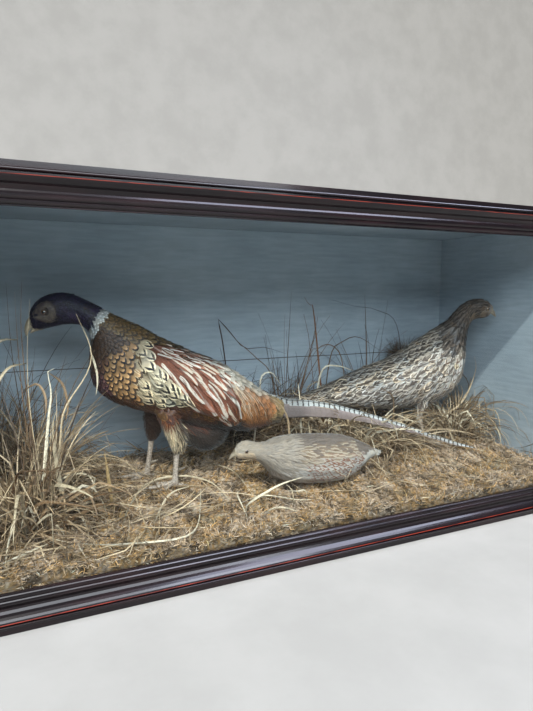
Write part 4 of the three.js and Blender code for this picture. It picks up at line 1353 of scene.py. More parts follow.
def cock_ear_tufts(bird, rng):
    shares, widths = (np.array(row) for row in EAR_CUT)
    count, stations = EAR_TUFT["count"], len(shares)
    strips = Strips(soft=True)
    for side in (-1, 1):
        root = np.array(EAR_TUFT["root"], float) * [1, side, 1]
        root = root + rng.normal(0, 1, (count, 3)) * EAR_SPREAD
        way = unit(np.array([[-0.95, side * 0.22, 0.12]]) + rng.normal(0, 0.1, (count, 3)))
        rise = 0.12 * shares[:, None] ** 2 * [0, 0, 1]
        line = root[:, None] + EAR_TUFT["length"] * (way[:, None] * shares[:, None] + rise)
        normal = np.tile([0, side * 0.8, 0.6], (count, stations, 1))
        half = np.tile(EAR_TUFT["width"] / 2 * widths, (count, 1))
        tones = np.array([EAR_BLACK]) * rng.uniform(0.7, 1.4, (count, 1))
        strips.add(line, normal, half, 0.0, 0.1, 0.3, unmarked(tones, 1.0), bird.unwrap(root))
    strips.show("cock_ear_tufts", bird.world, plumage("ear_plumage", 0.4, sheen=0.1, gloss=0.5),
                "head_feather")


# ---- the hen pheasant and the partridge ---------------------------------------------------
def ramped(regions, places):
    """How strongly each region claims each point: a sum of terms, each a weight times smooth
    rises along the named places."""
    columns = []
    for terms in regions.values():
        total = 0.0
        for share, *rises in terms:
            for place, low, high in rises:
                share = share * smooth(low, high, places[place])
            total = total + share
        columns.append(total + 0 * places["x"])
    return np.stack(columns, 1)


HEN_LIE = [
    (165, 0, 388, -1, -0.1), (170, 16, 362, -0.95, -0.2), (150, 0, 342, -0.8, -0.6),
    (130, 20, 345, -0.6, -0.8), (110, 0, 360, -0.6, -0.8), (142, 0, 320, -0.2, -1),
    (132, 0, 245, -0.25, -0.97), (112, 0, 200, -0.8, -0.6), (30, 0, 160, -1, -0.1),
    (90, 45, 270, -0.62, -0.78), (30, 55, 230, -0.85, -0.5), (40, 10, 306, -0.88, -0.45),
    (-50, 10, 260, -0.93, -0.35), (-40, 55, 215, -0.92, -0.38), (-150, 30, 195, -0.95, -0.28),
    (-280, 10, 172, -0.98, -0.18), (20, 30, 150, 0, -1),
]
HEN_AXIS = [[-335, 160], [-250, 172], [-150, 190], [-40, 210], [40, 235], [100, 290], [135, 345],
            [195, 362]]
HEN_KINDS = {
    # The head, cheek and neck tones are far darker than the body's: partly the hen's own darker
    # head and neck, partly painted shade under the case's top
    "head": ((0.13, 0.09, 0.065), (0.03, 0.02, 0.016), (0.7, 0.6, 0, 0)),
    "cheek": ((0.24, 0.18, 0.13), (0.05, 0.035, 0.03), (0.4, 0.5, 0, 0)),
    "neck": ((0.1, 0.075, 0.062), (0.016, 0.012, 0.01), (0.6, 0.9, 0, 0)),
    "back": ((0.46, 0.4, 0.34), (0.035, 0.025, 0.02), (0, 1, 1, 0)),
    "side": ((0.57, 0.51, 0.46), (0.062, 0.042, 0.034), (0, 0.9, 0.95, 0)),
    "breast": ((0.62, 0.57, 0.52), (0.13, 0.08, 0.06), (0, 0.3, 1, 0)),
    "belly": ((0.54, 0.48, 0.41), (0.3, 0.24, 0.18), (0, 0, 0.4, 0)),
    "leg": ((0.5, 0.48, 0.44), (0.4, 0.36, 0.3), (0, 0, 0, 0)),
}
# Each region's terms: a weight and its rises, as (place, 0 at, 1 at)
HEN_REGIONS = {
    "head": [(2, ("x", 120, 150), ("z", 330, 350))],
    "cheek": [(2.6, ("x", 128, 140), ("z", 366, 356), ("z", 328, 340))],
    "neck": [(2.2, ("x", 66, 98), ("z", 272, 302))],
    "back": [(1.6, ("above", -8, 10), ("z", 345, 330)), (0.6, ("side", 20, 5), ("z", 190, 230))],
    "side": [(0.6,)],
    "breast": [(0.9, ("x", 60, 110), ("z", 310, 285))],
    "belly": [(1.1, ("z", 182, 164), ("x", -200, -160))],
    "leg": [(4.0, ("z", 152, 146))],
}
# The line above which the feathers of the back lie
HEN_BACK = [[-330, 164], [-200, 174], [-90, 206], [0, 250], [60, 286], [120, 326]]
HEN_EYE = (180, 364)
HEN_BILL = 191  # how far forward the horn of the bill begins
HEN_LEGS = 150  # the height below which the legs are bare


def hen_markings(points, rng):
    x, z = points[:, 0], points[:, 2]
    places = {"x": x, "side": np.abs(points[:, 1]), "z": z,
              "above": z - np.interp(x, *np.transpose(HEN_BACK))}
    return Plumes(HEN_KINDS).pick(ramped(HEN_REGIONS, places), rng, 0.2)


def hen_depth(points):
    depth = 4.4 - 2.6 * smooth(110, 160, points[:, 0]) * smooth(300, 335, points[:, 2])
    depth = depth - 2.6 * smooth(-150, -240, points[:, 0])
    return np.where((points[:, 2] < HEN_LEGS) | (points[:, 0] > HEN_BILL + 1), 0.1, depth)


def hen_pitch(points):
    return 9.8 - 5.6 * smooth(95, 145, points[:, 0]) * smooth(270, 325, points[:, 2])


def eye_distance(points, eye):
    """How far a point is from an eye, seen from the side."""
    return np.hypot(points[:, 0] - eye[0], points[:, 2] - eye[1])


def build_hen():
    rng = np.random.default_rng(23)
    bird = Bird(320, 40, -15, HEN_LIE, HEN_AXIS)
    skin = Skin(bird, ["hen_pheasant"], 2.2, hen_depth)
    skin.show("hen_skin", hen_markings, [downy("hen_down"), SCALY, HORN],
              lambda p: np.where(p[:, 0] > HEN_BILL, 2, p[:, 2] < HEN_LEGS), "hen_feather",
              ["hen_pheasant"])
    roots = skin.outer.roots(hen_pitch, rng)
    roots = roots[(roots[:, 2] > HEN_LEGS + 3) & (roots[:, 0] < HEN_BILL - 1)]
    roots = roots[eye_distance(roots, HEN_EYE) > 6]
    pitch = hen_pitch(roots)
    head = pitch < 7.0
    coat = Strips(soft=True)
    clothe(skin, coat, roots[~head], hen_markings, pitch[~head] * 2.9, pitch[~head] * 1.5, rng,
           "vane", lift=0.4, camber=0.05, thick=0.14, stray=1.8)
    clothe(skin, coat, roots[head], hen_markings, pitch[head] * 3.0, pitch[head] * 1.3, rng,
           "small", lift=0.25, camber=0.05, thick=0.12)
    strands = roots_where(
        skin.outer, lambda p: (p[:, 2] > HEN_LEGS + 5) & (p[:, 0] < 110), 4.8, rng)
    strands = strands[(strands[:, 2] > HEN_LEGS + 8) & (strands[:, 0] < 112)]
    clothe(skin, coat, strands, plain(hen_markings, 0.2), 17.0, 1.2, rng, "hair", lift=1.0,
           thick=0.12, stray=2.5)
    coat.show("hen_feathers", bird.world,
              plumage("hen_plumage", 0.7, sheen=0.1, gloss=0.2, barb=1.2, root=0.8),
              "hen_feather")
    plain_eyes("hen", bird, skin, HEN_EYE, 4.8, (0.16, 0.08, 0.03))


def plain_eyes(name, bird, skin, place, radius, iris):
    """Glass eyes set in the skin, each with a thin rim."""
    for side, word in ((1, "left"), (-1, "right")):
        spot, normal = skin.outer.nearest(np.array([[place[0], side * 22, place[1]]]))
        centre = spot[0] - normal[0] * radius * 0.62
        globe(f"{name}_eye_{word}", bird, centre, radius, normal[0], iris)
        lid(f"{name}_eyelid_{word}", bird, centre + normal[0] * radius * 0.55, radius * 0.86,
            normal[0], SCALY, 0.13 * radius)


PARTRIDGE_LIE = [
    (140, 0, 160, -1, 0), (148, 11, 142, -1, -0.1), (112, 0, 155, -1, 0),
    (130, 0, 128, -0.8, -0.5), (100, 0, 105, -0.6, -0.8), (70, 0, 83, -0.95, -0.2),
    (60, 42, 115, -0.9, -0.35), (0, 45, 110, -0.95, -0.25), (40, 0, 160, -1, -0.05),
    (-30, 0, 152, -0.98, -0.2), (-90, 15, 125, -0.9, -0.35), (0, 0, 71, -1, 0),
]
PARTRIDGE_AXIS = [[-128, 107], [-60, 112], [30, 118], [100, 130], [160, 142]]
PARTRIDGE_EYE = (142, 145)
PARTRIDGE_BILL = 157  # how far forward the horn of the bill begins
PARTRIDGE_WING = [[54, 146], [20, 150], [-20, 145], [-62, 126], [-58, 112], [-16, 110], [30, 114],
                  [56, 126]]
PARTRIDGE_KINDS = {
    "crown": ((0.4, 0.34, 0.28), (0.2, 0.16, 0.12), (0.3, 0.3, 0, 0)),
    "face": ((0.58, 0.44, 0.31), (0.4, 0.26, 0.17), (0.1, 0, 0, 0)),
    "neck": ((0.35, 0.3, 0.255), (0.24, 0.2, 0.165), (0, 0, 0, 0.6)),
    "breast": ((0.55, 0.51, 0.48), (0.4, 0.36, 0.33), (0, 0, 0, 0.5)),
    "back": ((0.2, 0.165, 0.145), (0.1, 0.07, 0.06), (0.1, 0, 0, 0.8)),
    "wing": ((0.24, 0.175, 0.125), (0.6, 0.53, 0.43), (0, 0.5, 0, 0)),
    "russet": ((0.27, 0.16, 0.11), (0.6, 0.53, 0.43), (0, 0.5, 0, 0)),
    "flank": ((0.47, 0.44, 0.41), (0.2, 0.07, 0.035), (0, 0, 1.0, 0)),
    "vent": ((0.52, 0.5, 0.47), (0.4, 0.36, 0.32), (0.1, 0, 0, 0)),
}
PARTRIDGE_REGIONS = {
    "crown": [(2, ("x", 112, 126), ("z", 138, 148))],
    "face": [(3, ("x", 124, 134), ("z", 148, 138))],
    "neck": [(1.1, ("x", 30, 90))],
    "breast": [(1.2, ("x", 20, 60), ("z", 122, 100))],
    "back": [(0.9, ("x", 90, 20), ("z", 120, 140))],
    "wing": [(1.0, ("x", 74, 46), ("x", -66, -36), ("z", 114, 122), ("z", 154, 144))],
    "russet": [(0.7, ("x", 56, 40), ("x", -60, -36), ("z", 108, 116), ("z", 146, 134))],
    "flank": [(1.5, ("x", 60, 46), ("x", -66, -44), ("z", 134, 120), ("z", 80, 88))],
    "vent": [(1.2, ("x", -30, -60), ("z", 128, 112)), (0.3, ("z", 90, 78))],
}


def partridge_markings(points, rng):
    weights = ramped(PARTRIDGE_REGIONS, {"x": points[:, 0], "z": points[:, 2]})
    return Plumes(PARTRIDGE_KINDS).pick(weights, rng, 0.07)


def partridge_depth(points):
    depth = 3.0 - 1.6 * smooth(90, 130, points[:, 0])
    return np.where(points[:, 0] > PARTRIDGE_BILL, 0.05, depth)


def partridge_pitch(points):
    pitch = 4.2 - 1.9 * smooth(60, 120, points[:, 0])
    return pitch + 2.4 * smooth(40, 0, points[:, 0])


def build_partridge():
    rng = np.random.default_rng(37)
    bird = Bird(60, -70, 180, PARTRIDGE_LIE, PARTRIDGE_AXIS)
    skin = Skin(bird, ["partridge"], 1.6, partridge_depth, 12)
    skin.show("partridge_skin", partridge_markings, [downy("partridge_down"), HORN],
              lambda p: p[:, 0] > PARTRIDGE_BILL, "partridge_feather", ["partridge"])
    roots = skin.outer.roots(partridge_pitch, rng)
    roots = roots[(roots[:, 0] < PARTRIDGE_BILL - 1) & (eye_distance(roots, PARTRIDGE_EYE) > 4.4)]
    pitch = partridge_pitch(roots)
    coat = Strips(soft=True)
    large = pitch > 4.6
    clothe(skin, coat, roots[large], partridge_markings, pitch[large] * 2.9, pitch[large] * 1.3,
           rng, "vane", lift=0.15, camber=0.03, thick=0.1, stray=1.2)
    folded = side_roots(skin, PARTRIDGE_WING, 7.0, rng, 10.0)
    clothe(skin, coat, folded, partridge_markings, 24.0, 7.0, rng, "quill", lift=0.6,
           camber=0.05, thick=0.12, stray=2.5)
    clothe(skin, coat, roots[~large], partridge_markings, pitch[~large] * 3.4,
           pitch[~large] * 1.05, rng, "small", lift=0.1, camber=0.03, thick=0.08, stray=0.6)
    strands = roots_where(skin.outer, lambda p: p[:, 0] < 118, 3.8, rng)
    strands = strands[strands[:, 0] < 116]
    clothe(skin, coat, strands, plain(partridge_markings, 0.1), 10.0, 1.1, rng, "hair",
           lift=0.3, thick=0.1, stray=1.5)
    coat.show("partridge_feathers", bird.world,
              plumage("partridge_plumage", 0.8, sheen=0.2, gloss=0.1, barb=0.6, root=1.0),
              "partridge_feather")
    plain_eyes("partridge", bird, skin, PARTRIDGE_EYE, 3.5, (0.12, 0.06, 0.03))


# ---- the ground ---------------------------------------------------------------------------
ROOM = {"left": -546.0, "right": 546.0, "front": -187.5, "back": 194.5, "top": 524.0}


class Ground:
    """The height of the moss at any place in the case, in millimetres."""

    STEP = 4.0  # between the places where the height is measured
    MARGINS = (0.5, 0.4)  # how far within the edges the first and the last place are, at least
    ABOVE = 400.0  # a height that is over all of the ground
    BARE = 20.0  # the height above the base where nothing is hit

    def __init__(self):
        mesh = NODES["groundwork"].data
        points, triangles = points_of(mesh) / M, triangles_of(mesh)
        tree = BVHTree.FromPolygons(points.tolist(), triangles.tolist())
        self.low, self.high = points.min(0), points.max(0)
        self.xs, self.ys = (
            np.arange(self.low[axis] + self.MARGINS[0], self.high[axis] - self.MARGINS[1],
                      self.STEP) for axis in (0, 1))
        self.heights = np.zeros((len(self.xs), len(self.ys)))
        down = Vector((0, 0, -1))
        for i, x in enumerate(self.xs):
            for j, y in enumerate(self.ys):
                spot = tree.ray_cast(Vector((x, y, self.ABOVE)), down)[0]
                self.heights[i, j] = spot.z if spot else self.low[2] + self.BARE

    def at(self, x, y):
        u = np.clip((x - self.xs[0]) / self.STEP, 0, len(self.xs) - 1.001)
        v = np.clip((y - self.ys[0]) / self.STEP, 0, len(self.ys) - 1.001)
        i, j = u.astype(int), v.astype(int)
        a, b = u - i, v - j
        h = self.heights
        return ((h[i, j] * (1 - a) + h[i + 1, j] * a) * (1 - b)
                + (h[i, j + 1] * (1 - a) + h[i + 1, j + 1] * a) * b)

    def patch(self, points):
        """Where a root lies on the ground laid flat, for the bake map."""
        return (points[:, :2] - self.low[:2]) / (self.high[0] - self.low[0]) * 0.9 + 0.02


def ripple(x, y, seed, scale, octaves=3):
    """Smooth lumps between about -1 and 1, from sines laid over each other."""
    rng = np.random.default_rng(seed)
    total = np.zeros_like(x, dtype=float)
    size, waves = 1.0, 5
    for _ in range(octaves):
        for _ in range(waves):
            angle, phase = rng.uniform(0, 2 * math.pi, 2)
            wave = rng.uniform(0.7, 1.4) * 2 * math.pi / scale
            total += size * np.sin(wave * (x * math.cos(angle) + y * math.sin(angle)) + phase)
        size *= 0.55
        scale *= 0.45
    return total / 4.5


def clump(x, y):
    """The lumps of moss, from -1 in the hollows to 1 on top."""
    return np.clip(0.65 * ripple(x, y, 3, 58.0) + 0.5 * ripple(x, y, 4, 17.0, 2), -1, 1)


LUMP = 4.0  # how far the lumps rise and sink
# The moss's tones, each fading into the next from patch to patch
MOSS_TONES = np.array([
    (0.44, 0.3, 0.19), (0.7, 0.49, 0.31), (0.78, 0.64, 0.53), (0.76, 0.43, 0.16),
    (0.44, 0.35, 0.23), (0.84, 0.67, 0.5),
])
HOLLOW_SHADE = (0.06, 0.04, 0.026)  # painted shade for the hollows between the lumps


def moss_tone(x, y, rng, lift=0.0):
    """Golden, brown and buff patches, each strand a little different, with painted shade in the
    hollows between the lumps and dark patches here and there in the same tone.
    """
    patch = 0.5 + 0.34 * ripple(x, y, 5, 105.0, 2) + rng.normal(0, 0.13, len(x))
    patch = np.clip(patch, 0, 0.999) * (len(MOSS_TONES) - 1)
    first = patch.astype(int)
    tones = mixed(MOSS_TONES[first], MOSS_TONES[first + 1], patch - first)
    tones = tones * rng.normal(1, 0.16, (len(x), 1))
    # painted shade: strands low in the hollows between the lumps are darkened, less so where lift
    # raises them
    shade_in_hollows = smooth(0.3, -0.5, clump(x, y) + lift + rng.normal(0, 0.12, len(x)))
    # dark patches laid at random over the moss, in the same painted shade tone
    pit = 0.68 * smooth(0.42, 0.85, ripple(x, y, 8, 74.0))
    return np.clip(mixed(tones, np.array(HOLLOW_SHADE), np.maximum(0.86 * shade_in_hollows, pit)), 0.015, 0.9)


GRID = (330, 116)  # columns and rows of the ground's top
COURSES = 9  # rings of points down its sides
FACE = 180  # how far the slab's front and back faces are from its middle, at least


def build_ground(ground):
    """The mossy slab: a lumpy top, lumpy sides and a flat underside."""
    rng = np.random.default_rng(41)
    columns, rows = GRID
    xs = np.linspace(ground.low[0], ground.high[0], columns)
    ys = np.linspace(ground.low[1], ground.high[1], rows)
    x, y = (grid.ravel() for grid in np.meshgrid(xs, ys, indexing="ij"))
    edge = np.minimum.reduce([x - xs[0], xs[-1] - x, y - ys[0], ys[-1] - y])
    z = ground.at(x, y) - 1.2 + LUMP * clump(x, y) * smooth(0, 12, edge)
    z = z - 8.0 * smooth(13, 0, edge)
    top = np.stack([x, y, z], 1)
    cell = (np.arange(columns - 1)[:, None] * rows + np.arange(rows - 1)[None]).ravel()
    rim = np.concatenate([
        np.arange(columns) * rows, (columns - 1) * rows + np.arange(1, rows),
        (np.arange(columns - 1) * rows + rows - 1)[::-1], np.arange(rows - 2, 0, -1)])
    # painted shade: the top of the slab darkens towards its edges
    tones = moss_tone(x, y, rng) * (0.25 + 0.45 * smooth(4, 20, edge))[:, None]
    walls, wall_tones = slab_walls(top[rim], ground, rng)
    rings = np.concatenate([
        rim[None], len(top) + np.arange((COURSES - 1) * len(rim)).reshape(-1, len(rim))])
    quads = [np.stack([cell, cell + rows, cell + rows + 1, cell + 1], 1)]
    for above, below in zip(rings[:-1], rings[1:]):
        quads.append(np.stack([above, below, np.roll(below, -1), np.roll(above, -1)], 1))
    points = np.concatenate([top, walls, [[0, 0, ground.low[2]]]])
    middle = np.full(len(rim), len(points) - 1)
    base = np.stack([middle, np.roll(rings[-1], -1), rings[-1]], 1)
    mesh = outward(mesh_of("ground", points * M, np.concatenate(quads), base))
    paint(mesh, "tone", np.concatenate([tones, wall_tones, np.full((1, 3), 0.1)]))
    show("moss_ground", mesh, strand("moss_bed", 0.95, gloss=0.1), ["groundwork"])


def slab_walls(rim, ground, rng):
    """The points and tones of the slab's sides, one course below another, in painted shade that
    deepens downwards.
    """
    flank = np.abs(rim[:, :2]) > [ground.high[0] - 1, FACE]
    inward = -np.sign(rim[:, :2]) * flank
    points, tones = [], []
    for course in range(1, COURSES):
        drop = course / (COURSES - 1)
        around = rim.copy()
        around[:, 2] += (ground.low[2] - around[:, 2]) * drop
        swell = ripple(around[:, 0] + around[:, 1], around[:, 2] * 2, 6, 16.0)
        if course < COURSES - 1:
            around[:, :2] += inward * np.clip(6.0 + 2.6 * swell, 2, 10)[:, None]
        points.append(around)
        along = around[:, 0] + around[:, 1]
        # painted shade: the sides are darker than the top, and darker still lower down
        tones.append(moss_tone(along, around[:, 2] * 3, rng) * (0.6 - 0.25 * drop))
    return np.concatenate(points), np.concatenate(tones)


ROOTED = 0.12  # the share of a strand that may be in the moss


def settle(line, ground, gap):
    """Keeps strands inside the case and, past their rooted share, above the moss."""
    count, stations = line.shape[:2]
    share = np.linspace(0, 1, stations)
    line[..., 0] = np.clip(line[..., 0], ROOM["left"] + 2, ROOM["right"] - 2)
    line[..., 1] = np.clip(line[..., 1], ROOM["front"] + 2, ROOM["back"] - 2)
    floor = ground.at(line[..., 0].ravel(), line[..., 1].ravel()).reshape(count, stations)
    lowest = np.maximum(line[..., 2], floor + gap)
    line[..., 2] = np.minimum(np.where(share[None] > ROOTED, lowest, line[..., 2]), ROOM["top"])
    return line


def blades(strips, roots, lean, turn, length, droop, width, tones, ground, rng, stations=8,
           curl=0.0, kinked=0.0, flatness=0.25, gap=1.2):
    """Grass blades and moss strands. Each starts leaning by lean from upright towards turn and
    bends over by droop, both in radians; some are kinked, and all lie on the moss they meet."""
    share = np.linspace(0, 1, stations)
    count = len(roots)
    angle = lean[:, None] + droop[:, None] * share[None] ** 1.4
    fold = rng.uniform(0.3, 0.75, (count, 1))
    bent = (rng.random((count, 1)) < kinked) * rng.uniform(0.5, 1.9, (count, 1))
    angle = angle + bent * smooth(-0.04, 0.04, share[None] - fold)
    heading = turn[:, None] + curl * rng.normal(0, 1, (count, 1)) * share[None]
    way = np.stack([np.sin(angle) * np.cos(heading), np.sin(angle) * np.sin(heading),
                    np.cos(angle)], -1)
    step = length[:, None, None] / (stations - 1)
    line = roots[:, None] + np.concatenate(
        [np.zeros((count, 1, 3)), np.cumsum(way[:, :-1] * step, 1)], 1)
    line = settle(line, ground, gap)
    roll = rng.uniform(0, 2 * math.pi, (count, 1)) + 0.8 * share[None] * rng.normal(
        0, 1, (count, 1))
    across = np.stack([-np.sin(heading), np.cos(heading), np.zeros_like(heading)], -1)
    above = np.cross(way, across)
    normal = above * np.cos(roll)[..., None] + across * np.sin(roll)[..., None]
    half = width[:, None] / 2 * np.clip(1.15 - share[None] ** 2.2, 0.1, 1)
    strips.add(line, normal, half, 0.0, 0.3, flatness * width[:, None], unmarked(tones),
               ground.patch(roots))


# The darkest and the palest tone of each kind of straw
STRAWS = {
    "straw": ((0.14, 0.082, 0.04), (0.68, 0.52, 0.34)),
    "leaf": ((0.15, 0.08, 0.038), (0.62, 0.45, 0.28)),
    "pale": ((0.5, 0.4, 0.27), (0.8, 0.7, 0.54)),
    "brown": ((0.05, 0.03, 0.018), (0.22, 0.13, 0.07)),
    "russet": ((0.13, 0.055, 0.025), (0.3, 0.14, 0.07)),
    "gold": ((0.33, 0.22, 0.1), (0.42, 0.3, 0.15)),
}


def straw_tones(kind, count, rng):
    dark, light = (np.array([tone]) for tone in STRAWS[kind])
    share = rng.random((count, 1)) ** 1.45
    return np.clip((dark + (light - dark) * share) * rng.normal(1, 0.1, (count, 1)), 0.02, 0.95)


MOSS_PIECES = 3
MOSS_STRANDS = 4600  # in each piece
FRONT_STRANDS = 4000
FRONT_DEPTH = 6.5  # how far behind the glass a strand may still hang down the front


def build_moss(ground):
    """Curly strands over the whole slab, thicker towards the glass."""
    rng = np.random.default_rng(43)
    for number in range(MOSS_PIECES):
        strips = Strips()
        count = MOSS_STRANDS
        x = rng.uniform(ROOM["left"] + 4, ROOM["right"] - 4, count)
        y = ROOM["front"] + 3 + (ROOM["back"] - ROOM["front"] - 6) * rng.random(count) ** 1.5
        z = ground.at(x, y) - 1.0 + LUMP * clump(x, y)
        blades(strips, np.stack([x, y, z], 1), rng.uniform(0.5, 1.45, count),
               rng.uniform(0, 2 * math.pi, count), rng.uniform(7, 19, count),
               rng.uniform(-1.2, 2.2, count), rng.uniform(0.5, 1.05, count),
               moss_tone(x, y, rng, 0.25), ground, rng, 5, curl=2.6, gap=0.4)
        strips.show(f"moss_strands_{number}", metres,
                    strand(f"moss_{number}", 0.9, gloss=0.15, root=0.5), "moss")
    build_moss_front(ground, rng)


def build_moss_front(ground, rng):
    """Short strands that hang down the front of the slab, behind the glass, those further back
    darkened as painted shade.
    """
    strips = Strips()
    count, stations = FRONT_STRANDS, 4
    x = rng.uniform(ROOM["left"] + 4, ROOM["right"] - 4, count)
    depth = np.where(rng.random(count) < 0.7, rng.uniform(0.8, FRONT_DEPTH, count),
                     rng.uniform(FRONT_DEPTH, 20.0, count))
    y = ROOM["front"] + depth
    top = ground.at(x, y)
    hang = (top - ground.low[2] - 6) * rng.random(count) ** 1.2
    z = top + 1 - np.where(depth < FRONT_DEPTH, hang, 0)
    line_x = x[:, None] + np.cumsum(rng.normal(0, 3.4, (count, stations)), 1)
    line_z = z[:, None] + np.cumsum(rng.normal(0.9, 2.6, (count, stations)), 1)
    line_z = np.minimum(line_z, top[:, None] + 3)
    line_y = y[:, None] - np.cumsum(rng.uniform(0, 0.8, (count, stations)), 1)
    line = np.stack([line_x, np.maximum(line_y, ROOM["front"]), line_z], -1)
    half = np.array([0.3, 0.5, 0.42, 0.08])[None] * rng.uniform(0.8, 1.3, (count, 1))
    # painted shade: strands further behind the glass are darker
    tones = moss_tone(x, y + z, rng, 0.3) * (0.95 - 0.06 * np.minimum(depth, 6))[:, None]
    strips.add(line, np.tile([0, -1.0, 0], (count, stations, 1)), half, 0.0, 0.3, 0.5,
               unmarked(tones, 1.0), ground.patch(np.stack([x, y], 1)))
    strips.show("moss_front", metres, strand("moss_front", 0.9, gloss=0.15), "moss")


# A group of blades: (count, kind, lean, length, droop, width, share kinked)
UPRIGHT = (110, "straw", (0.03, 0.5), (100, 215), (0.2, 1.1), (1.2, 3.0), 0.35)
ARCHING = (120, "straw", (0.4, 1.1), (90, 220), (1.0, 2.2), (1.2, 2.8), 0.3)
BROAD = (40, "pale", (0.1, 0.8), (80, 180), (0.4, 2.0), (3.4, 7.0), 0.75)
LEAVES = (56, "leaf", (0.05, 1.0), (80, 190), (0.3, 1.8), (3.0, 6.0), 0.7)
STEMS = (22, "brown", (0.02, 0.4), (170, 320), (0.05, 0.7), (1.2, 2.2), 0.25)
FOUNTAIN = (64, "straw", (0.1, 0.75), (140, 260), (1.2, 2.4), (1.3, 3.0), 0.25)
LOW_MOP = (150, "straw", (0.5, 1.3), (60, 180), (0.9, 2.0), (1.0, 2.2), 0.1)
THATCH = (150, "leaf", (0.3, 1.3), (50, 120), (0.6, 1.6), (1.4, 3.0), 0.3)
TWIGS = (110, "brown", (0.05, 1.0), (80, 230), (0.1, 1.3), (1.2, 2.6), 0.5)
PLUME = (560, "brown", (0.05, 1.5), (20, 62), (0.2, 1.0), (0.5, 0.9), 0.1)
# Each tuft: its middle, its reach, how far its root is above the moss, and its groups
TUFTS = {
    "tussock_left": ((-408, -52, 40, 0), [
        UPRIGHT, ARCHING, BROAD, LEAVES, LEAVES, STEMS, THATCH]),
    "tussock_corner": ((-470, 90, 34, 0), [
        UPRIGHT, ARCHING, LEAVES, BROAD, STEMS, STEMS, TWIGS]),
    "tussock_back": ((98, 150, 26, 0), [TWIGS, STEMS, LOW_MOP]),
    "tussock_right": ((478, 70, 34, 0), [ARCHING, LOW_MOP, FOUNTAIN, FOUNTAIN, BROAD]),
    "clump_left": ((-385, 70, 22, 0), [ARCHING, LOW_MOP, UPRIGHT]),
    "clump_behind_tail": ((160, 100, 34, 0), [ARCHING, LOW_MOP, LEAVES]),
    "clump_behind_rump": ((0, 165, 30, 0), [TWIGS, TWIGS, LOW_MOP]),
    "clump_behind_hen": ((330, 172, 26, 0), [TWIGS, STEMS]),
    "plume_behind_hen": ((415, 166, 16, 165), [PLUME]),
    "clump_by_hen": ((250, 15, 30, 0), [LOW_MOP, ARCHING]),
    "clump_before_hen": ((185, 42, 44, 0), [ARCHING, FOUNTAIN, BROAD]),
    "clump_under_tail": ((90, 20, 34, 0), [LOW_MOP]),
}
STRAW = strand("straw", 0.55, gloss=0.4, root=0.4)


def build_tussocks(ground):
    rng = np.random.default_rng(47)
    for name, ((x, y, reach, rise), groups) in TUFTS.items():
        strips = Strips()
        for count, kind, lean, length, droop, width, kinked in groups:
            angle = rng.uniform(0, 2 * math.pi, count)
            away = reach * np.sqrt(rng.random(count))
            root_x = np.clip(x + away * np.cos(angle), ROOM["left"] + 3, ROOM["right"] - 3)
            root_y = np.clip(y + away * np.sin(angle), ROOM["front"] + 3, ROOM["back"] - 3)
            roots = np.stack([root_x, root_y, ground.at(root_x, root_y) - 3 + rise], 1)
            blades(strips, roots, rng.uniform(*lean, count), angle + rng.normal(0, 1.1, count),
                   rng.uniform(*length, count), rng.uniform(*droop, count),
                   rng.uniform(*width, count), straw_tones(kind, count, rng), ground, rng, 12,
                   curl=0.75, kinked=kinked)
        stands_for = [name] if name in NODES else ()
        strips.show(f"{name}_blades", metres, STRAW, "straw", stands_for)


